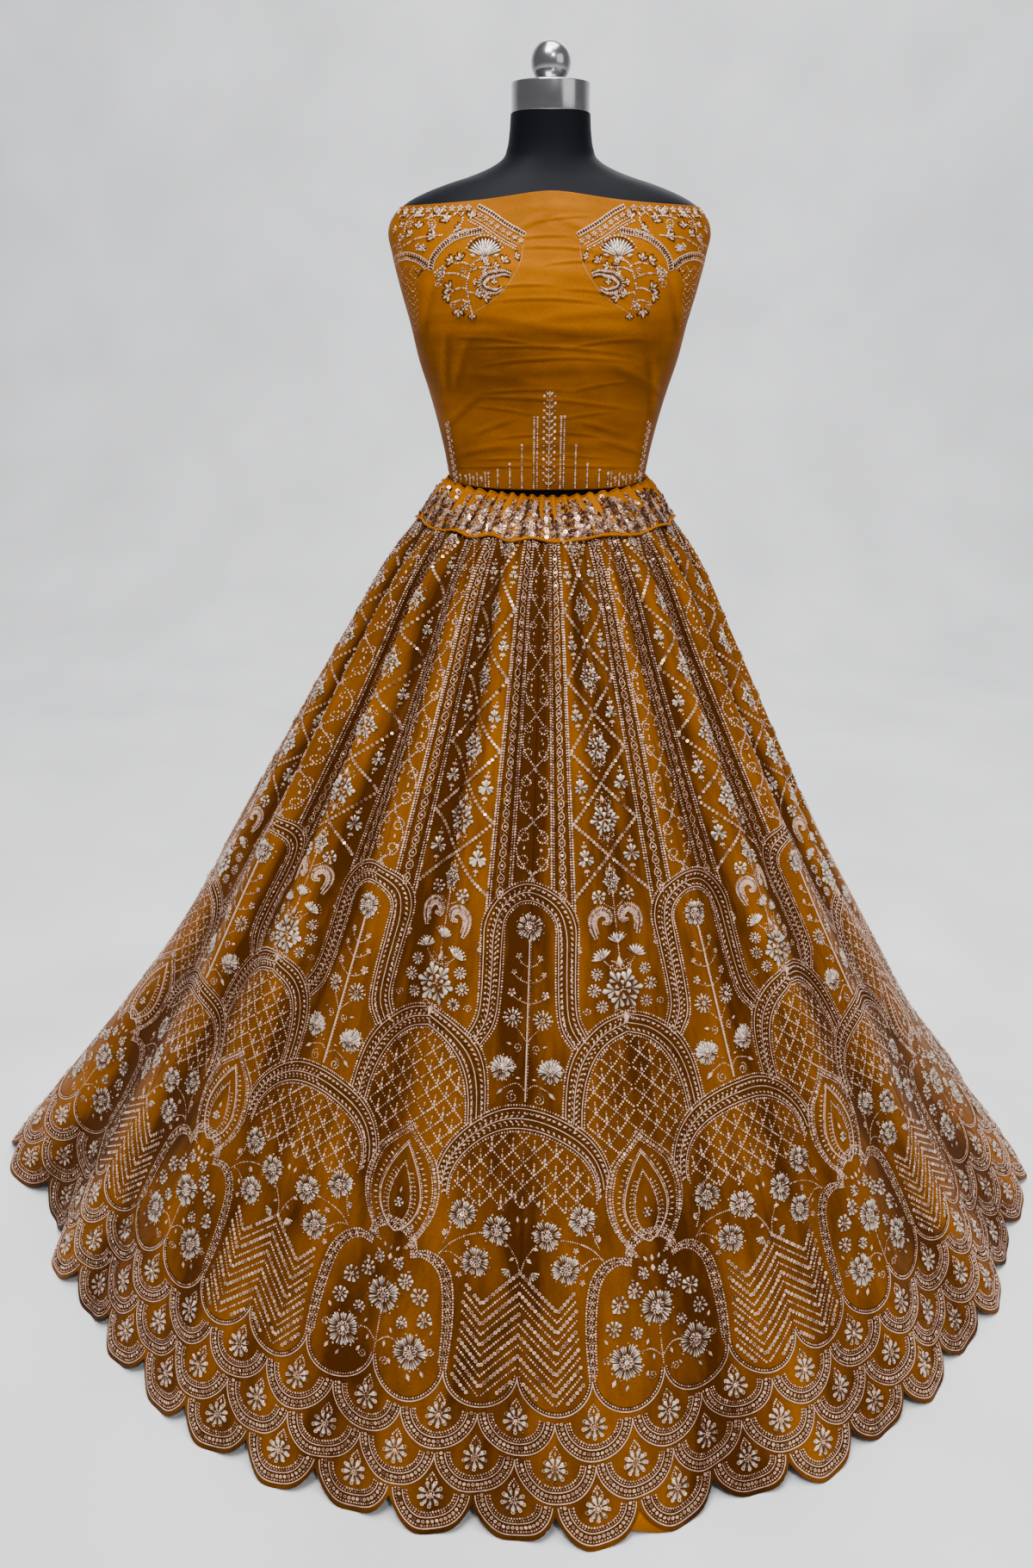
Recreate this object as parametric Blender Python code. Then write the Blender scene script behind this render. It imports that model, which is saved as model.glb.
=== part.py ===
"""Lehenga choli on a limbless dress form.

A wrapped choli cloth, a flared lehenga of twelve kalis with a gathered waistband, and the
satin lining that shows at the hem, on a smooth black bust that stands on a pole and a round foot.
Metres, +Z up, the front faces -Y. The origin is the centre of the foot's underside.
"""

import math

import bpy
import bmesh
import numpy as np
from mathutils import Vector

# Cloth
SEAM_GAP = 0.0003            # between two pieces that are sewn or that rest on each other
CLOTH_GAP = 0.0006           # between a cloth and what it lies on or behind
SKIRT_THICKNESS = 0.0020     # net and its beadwork
LINING_THICKNESS = 0.0012
CHOLI_THICKNESS = 0.0015
BAND_THICKNESS = 0.0020

# Lehenga: lengths round the body are angles, 0 degrees at the wearer's left, 90 at the front
KALIS = 12
KALI_ANGLE = 360.0 / KALIS
FRONT_SEAM_ANGLE = 93.5      # the seam at the centre front
SCALLOPS_PER_KALI = 4
SCALLOP_DEPTH = 0.020        # from tip to notch, measured down the cloth
STEPS_PER_SCALLOP = 4
SEAM_HEIGHT = 0.953          # where the kalis meet the waistband
BODY_STEPS = 40              # points round the bust and the choli
BIG_FOLDS = 22               # folds that fall from the gathers
SMALL_FOLDS = 34
HEM_FOLDS_START = 0.45        # where the hem's own folds start, as a share of the way down

# Waistband
BAND_TOP_HEIGHT = 0.994
BAND_GATHERS = 44
STEPS_PER_GATHER = 3
BAND_RUFFLE_DEPTH = 0.0050   # how far a gather stands out at the top edge
PIPING_RADIUS = 0.0019
PIPING_RISE = 0.0030         # from the seam up to the middle of the piping

# Lining
LINING_HEIGHT = 0.110        # the band of lining that can show under the net

# Choli
CHOLI_HEM_HEIGHT = 1.000
CHOLI_TOP_AT_SIDE = 1.310
CHOLI_TOP_AT_FRONT = 1.324

CHOLI_LEVELS = 9

# Dress form
TORSO_INSET = CHOLI_THICKNESS + CLOTH_GAP
NECK_TOP_HEIGHT = 1.4047
CAP_RADIUS = 0.0445
CAP_HEIGHT = 0.0310
CAP_EDGE = 0.0012
BALL_RADIUS = 0.0225
BALL_FOOT_RADIUS = 0.0110
BALL_SUNK = 0.0034           # how much of the ball its flat foot takes off
TORSO_FOOT_HEIGHT = 0.740
POLE_RADIUS = 0.0140
COLLAR_RADIUS = 0.0260
COLLAR_HEIGHT = 0.0300
FOOT_RADIUS = 0.1550
FOOT_HEIGHT = 0.0120
FOOT_BOSS_RADIUS = 0.0300
FOOT_BOSS_HEIGHT = 0.0220

# Radius of the lehenga's outer face at each height, towards each side of the body
SKIRT_SECTIONS = (
    # height, left_arm, front, right_arm, back
    (0.953, 0.158, 0.142, 0.161, 0.138),
    (0.920, 0.178, 0.169, 0.187, 0.158),
    (0.800, 0.232, 0.240, 0.262, 0.222),
    (0.650, 0.308, 0.326, 0.354, 0.300),
    (0.500, 0.389, 0.412, 0.446, 0.378),
    (0.350, 0.478, 0.500, 0.522, 0.458),
    (0.200, 0.566, 0.588, 0.611, 0.540),
    (0.000, 0.715, 0.709, 0.735, 0.640),
)

# Folds that only the hem has: where each lies, how far it stands out or in, and how wide it is
HEM_FOLDS = (
    # angle, out, half_width
    (12, 0.032, 6),
    (50, -0.008, 10),
    (73, -0.018, 5),
    (86, 0.007, 6),
    (116, 0.009, 4),
    (129, 0.014, 6),
    (152, 0.018, 8),
    (174, 0.098, 9),
    (198, 0.012, 7),
    (216, -0.010, 8),
    (238, 0.014, 9),
    (262, -0.012, 8),
    (285, 0.012, 9),
    (312, -0.010, 8),
    (340, 0.014, 8),
)

# Outer face of the choli cloth: half its width and its depth to front and back
CHOLI_SECTIONS = (
    # height, half_width, front, back
    (1.000, 0.1225, 0.0850, 0.0830),
    (1.022, 0.1255, 0.0860, 0.0840),
    (1.064, 0.1340, 0.0920, 0.0880),
    (1.105, 0.1445, 0.1030, 0.0930),
    (1.145, 0.1565, 0.1150, 0.0990),
    (1.184, 0.1650, 0.1220, 0.1040),
    (1.223, 0.1755, 0.1190, 0.1060),
    (1.260, 0.1840, 0.1060, 0.1010),
    (1.285, 0.1875, 0.0930, 0.0930),
    (1.300, 0.1820, 0.0840, 0.0860),
    (1.310, 0.1740, 0.0780, 0.0810),
    (1.324, 0.1600, 0.0700, 0.0740),
)

# The bust above and below the cloth, where nothing covers it or the skirt hangs clear
BARE_TORSO_SECTIONS_BELOW = (
    # height, half_width, front, back
    (0.740, 0.1400, 0.0860, 0.0980),
    (0.760, 0.1520, 0.0940, 0.1080),
    (0.800, 0.1560, 0.0960, 0.1120),
    (0.860, 0.1480, 0.0920, 0.1050),
    (0.920, 0.1320, 0.0850, 0.0900),
    (0.965, 0.1215, 0.0815, 0.0820),
)
BARE_TORSO_SECTIONS_ABOVE = (
    # height, half_width, front, back
    (1.3340, 0.1180, 0.0610, 0.0660),
    (1.3410, 0.0940, 0.0570, 0.0610),
    (1.3500, 0.0700, 0.0530, 0.0560),
    (1.3590, 0.0550, 0.0500, 0.0515),
    (1.3700, 0.0495, 0.0475, 0.0485),
    (1.3850, 0.0468, 0.0458, 0.0462),
    (1.4047, 0.0452, 0.0448, 0.0448),
)
BODY_ROUNDNESS = 2.35        # superellipse power of the bust and the choli


def smooth_row(table, height):
    """A row of a table at any height, on a smooth curve through the rows."""
    rows = np.array(sorted(table), float)
    heights = rows[:, 0]
    slopes = np.gradient(rows[:, 1:], heights, axis=0)
    height = min(max(height, heights[0]), heights[-1])
    i = int(min(np.searchsorted(heights, height, side="right") - 1, len(heights) - 2))
    span = heights[i + 1] - heights[i]
    s = (height - heights[i]) / span
    start, end = rows[i, 1:], rows[i + 1, 1:]
    return (
        (2 * s**3 - 3 * s**2 + 1) * start
        + (s**3 - 2 * s**2 + s) * span * slopes[i]
        + (3 * s**2 - 2 * s**3) * end
        + (s**3 - s**2) * span * slopes[i + 1]
    )


def direction(angle):
    """Unit vector at an angle in degrees: 0 at +X, 90 at the front, which is -Y."""
    turn = math.radians(angle)
    return math.cos(turn), -math.sin(turn)


def body_point(row, angle, height):
    """A point of a body section, a superellipse with its own depth to front and back."""
    half_width, front, back = row
    across, ahead = direction(angle)
    depth = front if ahead < 0 else back
    power = BODY_ROUNDNESS
    reach = (abs(across / half_width) ** power + abs(ahead / depth) ** power) ** (-1 / power)
    return Vector((across * reach, ahead * reach, height))


def choli_point(angle, height):
    return body_point(smooth_row(CHOLI_SECTIONS, height), angle, height)


def low_torso_row(height):
    """The bust's section near the waistband."""
    covered = [(z, *(size - TORSO_INSET for size in sizes)) for z, *sizes in CHOLI_SECTIONS]
    return smooth_row((*BARE_TORSO_SECTIONS_BELOW, *covered), height)


# The lehenga's shape


def skirt_radius(angle, height):
    """The skirt's plan without folds: nearly round, drawn out at the sides, flatter behind."""
    left_arm, front, right_arm, back = smooth_row(SKIRT_SECTIONS, height)
    across, ahead = direction(angle)
    side = left_arm if across > 0 else right_arm
    if ahead < 0:
        return front + (side - front) * abs(across) ** 5
    return back + (side - back) * across**2


def fold_depth(angle, down):
    """How far the folds push the cloth out or in. down is 0 at the seam and 1 at the hem."""
    turn = math.radians(angle)
    starting = 1 - math.exp(-down / 0.05)
    unevenness = 1 + 0.40 * math.sin(3 * turn + 0.6) + 0.30 * math.sin(7 * turn + 2.0)
    big = 0.0085 * math.exp(-((down - 0.16) / 0.30) ** 2) + 0.0030
    small = 0.0030 * math.exp(-((down - 0.06) / 0.13) ** 2)
    gathered = starting * (
        big * unevenness * math.sin(BIG_FOLDS * turn + 1.4 * math.sin(2 * turn))
        + small * math.sin(SMALL_FOLDS * turn + 0.9)
    )
    if down <= HEM_FOLDS_START:
        return gathered
    strength = ((down - HEM_FOLDS_START) / (1 - HEM_FOLDS_START)) ** 1.3
    hem = 0.0
    for fold_angle, out, half_width in HEM_FOLDS:
        away = (angle - fold_angle + 180) % 360 - 180
        hem += out * math.exp(-((away / half_width) ** 2))
    return gathered + strength * hem


def skirt_point(angle, down):
    """A point of the lehenga's outer face: down is 0 at the waistband's seam and 1 on the floor."""
    height = SEAM_HEIGHT * (1 - down)
    radius = skirt_radius(angle, height) + fold_depth(angle, down)
    across, ahead = direction(angle)
    return Vector((across * radius, ahead * radius, height))


def scallop_rise(angle):
    """How far up the cloth the scalloped edge lies at an angle, as a share of the seam's height."""
    scallop = KALI_ANGLE / SCALLOPS_PER_KALI
    from_tip = abs((angle - FRONT_SEAM_ANGLE + scallop / 2) % scallop - scallop / 2) / (scallop / 2)
    slope_length = 1.12
    return SCALLOP_DEPTH / slope_length * from_tip**1.8


def behind(surface, angle, down, distance):
    """The point behind a surface, level with the surface's own point and square to it by a distance."""
    around_step, down_step = 0.05, 0.001
    along = surface(angle + around_step, down) - surface(angle - around_step, down)
    fall = surface(angle, down + down_step) - surface(angle, down - down_step)
    normal = along.cross(fall).normalized()
    point = surface(angle, down)
    level = Vector((normal.x, normal.y, 0.0))
    if level.dot(point) < 0:
        level = -level
    return point - level * (distance / level.length_squared)


def kept_between_seams(nominal, start, down):
    """An angle on a kali, held back from its seams by a little more than half of the seam gap."""
    margin = math.degrees(0.6 * SEAM_GAP / skirt_radius(nominal, SEAM_HEIGHT * (1 - down)))
    return min(max(nominal, start + margin), start + KALI_ANGLE - margin)


# Making meshes


def material(name, colour, roughness, metallic=0.0):
    made = bpy.data.materials.get(name) or bpy.data.materials.new(name)
    made.use_nodes = True
    shader = made.node_tree.nodes["Principled BSDF"]
    shader.inputs["Base Color"].default_value = (*colour, 1.0)
    shader.inputs["Roughness"].default_value = roughness
    shader.inputs["Metallic"].default_value = metallic
    return made


def mesh_object(name, points, faces, finish):
    mesh = bpy.data.meshes.new(name)
    mesh.from_pydata([tuple(p) for p in points], [], faces)
    mesh.update()
    made = bpy.data.objects.new(name, mesh)
    bpy.context.scene.collection.objects.link(made)
    mesh.materials.append(finish)
    return made


def recalculated(made):
    shape = bmesh.new()
    shape.from_mesh(made.data)
    bmesh.ops.recalc_face_normals(shape, faces=shape.faces)
    shape.to_mesh(made.data)
    shape.free()
    return made


def cloth_wall(name, outer, inner, closed_round, finish):
    """A wall from two grids of points, rows[v][u], outside and inside, with its four edges closed."""
    rows, columns = len(outer), len(outer[0])
    points = [p for row in outer for p in row] + [p for row in inner for p in row]
    inside = rows * columns
    spans = columns if closed_round else columns - 1
    faces = []
    for v in range(rows - 1):
        for u in range(spans):
            a, b = v * columns + u, v * columns + (u + 1) % columns
            c, d = b + columns, a + columns
            faces.append((a, b, c, d))
            faces.append((inside + a, inside + d, inside + c, inside + b))
    for u in range(spans):
        first, second = u, (u + 1) % columns
        faces.append((second, first, inside + first, inside + second))
        first, second = first + (rows - 1) * columns, second + (rows - 1) * columns
        faces.append((first, second, inside + second, inside + first))
    if not closed_round:
        for v in range(rows - 1):
            a, b = v * columns, (v + 1) * columns
            faces.append((a, b, inside + b, inside + a))
            a, b = a + columns - 1, b + columns - 1
            faces.append((a, inside + a, inside + b, b))
    return recalculated(mesh_object(name, points, faces, finish))


def lofted_solid(name, rings, finish):
    """A closed solid through rings of points, from the bottom up."""
    count = len(rings[0])
    points = [p for ring in rings for p in ring]
    faces = [tuple(range(count)), tuple(range(len(points) - count, len(points)))]
    for level in range(len(rings) - 1):
        for i in range(count):
            a, b = level * count + i, level * count + (i + 1) % count
            faces.append((a, b, b + count, a + count))
    made = recalculated(mesh_object(name, points, faces, finish))
    made.data.shade_smooth()
    made.data.set_sharp_from_angle(angle=math.radians(40))
    return made


def turned_solid(name, profile, steps, finish):
    """A solid turned about Z from (radius, height) points, bottom to top."""
    turns = [math.tau * i / steps for i in range(steps)]
    rings = [[Vector((r * math.cos(t), r * math.sin(t), z)) for t in turns] for r, z in profile]
    return lofted_solid(name, rings, finish)


# The garment's pieces


def make_kali(number, finish):
    """One panel of the lehenga, from seam to seam and from the waistband to its scalloped hem."""
    start = FRONT_SEAM_ANGLE + number * KALI_ANGLE
    columns = STEPS_PER_SCALLOP * SCALLOPS_PER_KALI
    lining_top = 1 - LINING_HEIGHT / SEAM_HEIGHT
    outer, inner = [], []
    for share in (0.0, 0.05, 0.13, 0.27, 0.52, lining_top, 1.0):
        outer_row, inner_row = [], []
        for column in range(columns + 1):
            nominal = start + KALI_ANGLE * column / columns
            down = share * (1 - scallop_rise(nominal)) if share == 1.0 else share
            angle = kept_between_seams(nominal, start, down)
            outer_row.append(skirt_point(angle, down))
            inner_row.append(behind(skirt_point, angle, down, SKIRT_THICKNESS))
        outer.append(outer_row)
        inner.append(inner_row)
    return cloth_wall(f"kali_{number + 1:02d}", outer, inner, False, finish)


def make_lining(number, finish):
    """The foot of one lining panel, which hangs just behind the net and reaches the floor."""
    start = FRONT_SEAM_ANGLE + number * KALI_ANGLE
    columns = STEPS_PER_SCALLOP * SCALLOPS_PER_KALI
    set_back = SKIRT_THICKNESS + CLOTH_GAP
    outer, inner = [], []
    for down in (1 - LINING_HEIGHT / SEAM_HEIGHT, 1.0):
        nominals = [start + KALI_ANGLE * column / columns for column in range(columns + 1)]
        angles = [kept_between_seams(nominal, start, down) for nominal in nominals]
        outer.append([behind(skirt_point, a, down, set_back) for a in angles])
        inner.append([behind(skirt_point, a, down, set_back + LINING_THICKNESS) for a in angles])
    return cloth_wall(f"lining_{number + 1:02d}", outer, inner, False, finish)


def band_point(angle, share):
    """The waistband's outer face: share is 0 at its ruffled top and 1 at its seam with the kalis."""
    turn = math.radians(angle)
    across, ahead = direction(angle)
    waist = body_point(low_torso_row(BAND_TOP_HEIGHT), angle, BAND_TOP_HEIGHT)
    top_radius = math.hypot(waist.x, waist.y) + CLOTH_GAP + BAND_THICKNESS
    seam_radius = skirt_radius(angle, SEAM_HEIGHT)
    ruffle = 0.5 + 0.5 * math.sin(BAND_GATHERS * turn + 2.2 * math.sin(3 * turn))
    fullness = 0.75 + 0.25 * math.sin(5 * turn + 1.0)
    bulge = 0.0040 * math.sin(math.pi * share)
    stand_out = BAND_RUFFLE_DEPTH * ruffle * fullness * (1 - share) ** 0.8
    radius = top_radius + (seam_radius - top_radius) * share**0.9 + bulge + stand_out
    ruffled_top = BAND_TOP_HEIGHT - 0.0030 * (1 - ruffle) * (1 - share)
    height = ruffled_top + (SEAM_HEIGHT + SEAM_GAP - ruffled_top) * share
    return Vector((across * radius, ahead * radius, height))


def make_waistband(finish):
    columns = BAND_GATHERS * STEPS_PER_GATHER
    outer, inner = [], []
    for share in (0.0, 0.5, 1.0):
        angles = [360.0 * i / columns for i in range(columns)]
        outer_row = [band_point(a, share) for a in angles]
        inner_row = []
        for point in outer_row:
            radius = math.hypot(point.x, point.y)
            keep = (radius - BAND_THICKNESS) / radius
            inner_row.append(Vector((point.x * keep, point.y * keep, point.z)))
        outer.append(outer_row)
        inner.append(inner_row)
    return cloth_wall("waistband", outer, inner, True, finish)


def make_waist_piping(finish):
    """The corded edge that lies round the foot of the waistband, just above the seam."""
    steps, sides = 80, 4
    share = 1 - PIPING_RISE / (BAND_TOP_HEIGHT - SEAM_HEIGHT)
    points, faces = [], []
    for i in range(steps):
        angle = 360.0 * i / steps
        across, ahead = direction(angle)
        seat = band_point(angle, share)
        radius = math.hypot(seat.x, seat.y) + CLOTH_GAP + PIPING_RADIUS
        for side in range(sides):
            turn = math.tau * side / sides
            out = radius + PIPING_RADIUS * math.cos(turn)
            height = SEAM_HEIGHT + PIPING_RISE + PIPING_RADIUS * math.sin(turn)
            points.append(Vector((across * out, ahead * out, height)))
            step = i * sides
            ahead_step = (i + 1) % steps * sides
            after = (side + 1) % sides
            faces.append((step + side, step + after, ahead_step + after, ahead_step + side))
    return recalculated(mesh_object("waist_piping", points, faces, finish))


def choli_top(angle):
    """Height of the choli's top edge, which is pulled straight across the chest and the back."""
    _, ahead = direction(angle)
    rise = CHOLI_TOP_AT_FRONT - CHOLI_TOP_AT_SIDE
    return CHOLI_TOP_AT_SIDE + rise * (ahead**6 if ahead < 0 else 0.4 * ahead**6)


def choli_grid_point(angle, level, inset):
    """A point on one level line of the choli, set in towards the body's axis."""
    height = CHOLI_HEM_HEIGHT + (choli_top(angle) - CHOLI_HEM_HEIGHT) * level / CHOLI_LEVELS
    point = choli_point(angle, height)
    radius = math.hypot(point.x, point.y)
    keep = (radius - inset) / radius
    return Vector((point.x * keep, point.y * keep, height))


def make_choli_panel(name, first_angle, finish):
    """Half of the wrapped choli cloth, from side seam to side seam."""
    columns = BODY_STEPS // 2
    margin = math.degrees(0.6 * SEAM_GAP / CHOLI_SECTIONS[0][1])
    outer, inner = [], []
    for level in range(CHOLI_LEVELS + 1):
        nominals = [first_angle + 180.0 * column / columns for column in range(columns + 1)]
        angles = [min(max(a, first_angle + margin), first_angle + 180.0 - margin) for a in nominals]
        outer.append([choli_grid_point(a, level, 0.0) for a in angles])
        inner.append([choli_grid_point(a, level, CHOLI_THICKNESS) for a in angles])
    return cloth_wall(name, outer, inner, False, finish)


# The dress form


def make_torso(finish):
    """The bust. Where the choli covers it, its rings follow the choli's own level lines."""
    angles = [360.0 * i / BODY_STEPS for i in range(BODY_STEPS)]
    rings = [
        [body_point(row, angle, height) for angle in angles]
        for height, *row in BARE_TORSO_SECTIONS_BELOW
    ]
    for level in range(CHOLI_LEVELS + 1):
        rings.append([choli_grid_point(angle, level, TORSO_INSET) for angle in angles])
    for height, *row in BARE_TORSO_SECTIONS_ABOVE:
        rings.append([body_point(row, angle, height) for angle in angles])
    return lofted_solid("form_torso", rings, finish)


def make_cap(finish):
    low = NECK_TOP_HEIGHT + SEAM_GAP
    high = low + CAP_HEIGHT
    profile = (
        (CAP_RADIUS - CAP_EDGE, low),
        (CAP_RADIUS, low + CAP_EDGE),
        (CAP_RADIUS, high - CAP_EDGE),
        (CAP_RADIUS - CAP_EDGE, high),
    )
    return turned_solid("neck_cap", profile, 40, finish)


def make_ball(finish):
    """The round knob, flattened where it sits on the cap."""
    seat = NECK_TOP_HEIGHT + SEAM_GAP + CAP_HEIGHT + SEAM_GAP
    centre = seat + BALL_RADIUS - BALL_SUNK
    lowest = math.asin((BALL_SUNK - BALL_RADIUS) / BALL_RADIUS)
    levels = 11
    profile = [(BALL_FOOT_RADIUS, seat)]
    for level in range(levels):
        tilt = lowest + (math.radians(84) - lowest) * level / (levels - 1)
        profile.append((BALL_RADIUS * math.cos(tilt), centre + BALL_RADIUS * math.sin(tilt)))
    profile[1] = (profile[1][0], seat + 0.0004)
    profile.append((0.0006, centre + BALL_RADIUS))
    return turned_solid("cap_ball", profile, 24, finish)


def make_pole(finish):
    """The pole with the collar that takes the bust, standing in the foot's boss."""
    low = FOOT_BOSS_HEIGHT + SEAM_GAP
    high = TORSO_FOOT_HEIGHT - SEAM_GAP
    profile = (
        (POLE_RADIUS, low),
        (POLE_RADIUS, high - COLLAR_HEIGHT),
        (COLLAR_RADIUS, high - COLLAR_HEIGHT + 0.0060),
        (COLLAR_RADIUS, high),
    )
    return turned_solid("stand_pole", profile, 24, finish)


def make_foot(finish):
    profile = (
        (FOOT_RADIUS, 0.0),
        (FOOT_RADIUS, FOOT_HEIGHT * 0.6),
        (FOOT_RADIUS - 0.0080, FOOT_HEIGHT),
        (FOOT_BOSS_RADIUS + 0.0060, FOOT_HEIGHT),
        (FOOT_BOSS_RADIUS, FOOT_HEIGHT + 0.0030),
        (FOOT_BOSS_RADIUS - 0.0040, FOOT_BOSS_HEIGHT),
    )
    return turned_solid("stand_foot", profile, 48, finish)


def clear_scene():
    for old in list(bpy.data.objects):
        bpy.data.objects.remove(old, do_unlink=True)


def main():
    clear_scene()
    net = material("mustard_net", (0.27, 0.085, 0.006), 0.70)
    satin = material("mustard_satin", (0.42, 0.150, 0.008), 0.42)
    black = material("black_jersey", (0.012, 0.013, 0.016), 0.62)
    chrome = material("chrome", (0.62, 0.61, 0.60), 0.12, 1.0)
    steel = material("black_steel", (0.020, 0.020, 0.022), 0.40, 0.6)
    for number in range(KALIS):
        make_kali(number, net)
        make_lining(number, satin)
    make_waistband(net)
    make_waist_piping(satin)
    make_choli_panel("choli_front", 0.0, satin)
    make_choli_panel("choli_back", 180.0, satin)
    make_torso(black)
    make_cap(chrome)
    make_ball(chrome)
    make_pole(steel)
    make_foot(steel)


main()
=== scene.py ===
"""An embroidered lehenga choli on a black dress form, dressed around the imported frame.

Angles go round the body in degrees: 0 at the wearer's left, 90 at the front. A place on the lehenga is an
angle and how far down it is, from 0 at the waist seam to 1 on the floor. The embroidery is charted flat, in
millimetres, for one repeat of its pattern, and is then laid on the folded cloth of each kali.
"""

import contextlib
import math

import bmesh
import bpy
import numpy as np
from bpy.props import FloatProperty, FloatVectorProperty, PointerProperty
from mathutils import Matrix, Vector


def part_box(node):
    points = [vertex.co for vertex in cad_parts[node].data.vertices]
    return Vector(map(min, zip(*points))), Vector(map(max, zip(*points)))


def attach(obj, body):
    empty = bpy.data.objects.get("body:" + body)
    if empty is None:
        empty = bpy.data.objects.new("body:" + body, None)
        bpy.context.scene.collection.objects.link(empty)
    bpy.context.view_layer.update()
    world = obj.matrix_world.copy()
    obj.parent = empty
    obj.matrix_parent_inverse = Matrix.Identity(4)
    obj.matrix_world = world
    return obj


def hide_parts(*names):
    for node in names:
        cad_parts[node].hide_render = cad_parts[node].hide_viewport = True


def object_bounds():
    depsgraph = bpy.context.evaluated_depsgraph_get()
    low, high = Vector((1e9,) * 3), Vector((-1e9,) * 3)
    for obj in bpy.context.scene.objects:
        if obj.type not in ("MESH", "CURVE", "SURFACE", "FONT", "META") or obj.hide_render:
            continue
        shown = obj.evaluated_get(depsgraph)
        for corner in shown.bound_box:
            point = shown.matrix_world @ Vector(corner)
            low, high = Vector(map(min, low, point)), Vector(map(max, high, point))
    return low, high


bl_info = {
    "name": "Lehenga Choli",
    "version": (1, 0, 0),
    "blender": (4, 5, 0),
    "location": "3D Viewport > Sidebar > Lehenga",
    "description": "Dresses a packed form in an embroidered lehenga choli",
    "category": "Object",
}

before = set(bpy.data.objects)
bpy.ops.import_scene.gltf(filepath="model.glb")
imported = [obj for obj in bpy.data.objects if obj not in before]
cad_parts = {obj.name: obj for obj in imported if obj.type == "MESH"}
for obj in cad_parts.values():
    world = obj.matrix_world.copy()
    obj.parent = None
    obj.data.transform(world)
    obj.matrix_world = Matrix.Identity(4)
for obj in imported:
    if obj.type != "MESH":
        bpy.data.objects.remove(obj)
CAD_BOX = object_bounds()
BODY = "root"

# Lehenga, in metres and degrees, as the solids have it
KALIS = 12
KALI_ANGLE = 360.0 / KALIS
FRONT_SEAM_ANGLE = 93.5
SEAM_HEIGHT = 0.953
SCALLOPS_PER_KALI = 4
SCALLOP_DEPTH = 0.032
SLANT = 1.117                 # from the waist seam to the hem, down the cloth
BIG_FOLDS = 22
SMALL_FOLDS = 34
HEM_FOLDS_START = 0.45
KALI_STEPS = 64               # faces across and down one net kali
LINING_STEPS = (40, 8)
NET_THICKNESS = 0.0009
SATIN_THICKNESS = 0.0008
LINING_SET_BACK = 0.0026
LINING_HEIGHT = 0.110
LINING_SHORT = 0.036          # how much of its length the lining ends above the floor, as a share
LINING_PEEP_ANGLE = 80.0      # where it has slipped down and shows
LINING_PEEP_SPREAD = 5.0      # degrees to each side of there
UV_PER_KALI = 0.20
CREST_DEPTH = 0.020           # depth of a fold over which the net's colour runs from painted shade in its valley to painted light on its crest
WAIST_SHADE = 0.22            # painted shade: how much darker the net and its stitches are in the gathers under the waist
WAIST_SHADE_REACH = 0.22      # how far down that fades
VALLEY_SHADE_TONE = 0.34            # how bright a stitch is painted in the shade of a fold's valley
CREST_LIGHT_GAIN = 0.42        # and how much brighter it is painted in the light on its crest

SKIRT_SECTIONS = (
    # height, left_arm, front, right_arm, back
    (0.953, 0.158, 0.142, 0.161, 0.138),
    (0.920, 0.178, 0.169, 0.187, 0.158),
    (0.800, 0.232, 0.240, 0.262, 0.222),
    (0.650, 0.308, 0.326, 0.354, 0.300),
    (0.500, 0.389, 0.412, 0.446, 0.378),
    (0.350, 0.478, 0.500, 0.522, 0.458),
    (0.200, 0.566, 0.588, 0.611, 0.540),
    (0.000, 0.715, 0.709, 0.735, 0.640),
)
HEM_FOLDS = (
    # angle, out, half_width
    (12, 0.032, 6),
    (50, -0.008, 10),
    (73, -0.018, 5),
    (86, 0.007, 6),
    (116, 0.009, 4),
    (129, 0.014, 6),
    (152, 0.018, 8),
    (174, 0.098, 9),
    (198, 0.012, 7),
    (216, -0.010, 8),
    (238, 0.014, 9),
    (262, -0.012, 8),
    (285, 0.012, 9),
    (312, -0.010, 8),
    (340, 0.014, 8),
)

# Waistband
BAND_TOP_HEIGHT = 0.994
BAND_GATHERS = 44
BAND_RUFFLE_DEPTH = 0.0050
BAND_THICKNESS = 0.0012
BAND_STITCHES = 8200

# Choli and bust, in metres
CHOLI_HEM_HEIGHT = 1.000
CHOLI_TOP_AT_SIDE = 1.310
CHOLI_TOP_AT_FRONT = 1.324
CHOLI_THICKNESS = 0.0012
BODY_ROUNDNESS = 2.35
TORSO_INSET = 0.0021
FORM_SEAMS = (62, 118)        # angles of the form's shoulder seams
FORM_SEAM_SPREAD = 0.9
FORM_SEAM_DEPTH = 0.0005
CHOLI_SECTIONS = (
    # height, half_width, front, back
    (1.000, 0.1225, 0.0850, 0.0830),
    (1.022, 0.1255, 0.0860, 0.0840),
    (1.064, 0.1340, 0.0920, 0.0880),
    (1.105, 0.1445, 0.1030, 0.0930),
    (1.145, 0.1565, 0.1150, 0.0990),
    (1.184, 0.1650, 0.1220, 0.1040),
    (1.223, 0.1755, 0.1190, 0.1060),
    (1.260, 0.1840, 0.1060, 0.1010),
    (1.285, 0.1875, 0.0930, 0.0930),
    (1.300, 0.1820, 0.0840, 0.0860),
    (1.310, 0.1740, 0.0780, 0.0810),
    (1.324, 0.1600, 0.0700, 0.0740),
)
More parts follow.
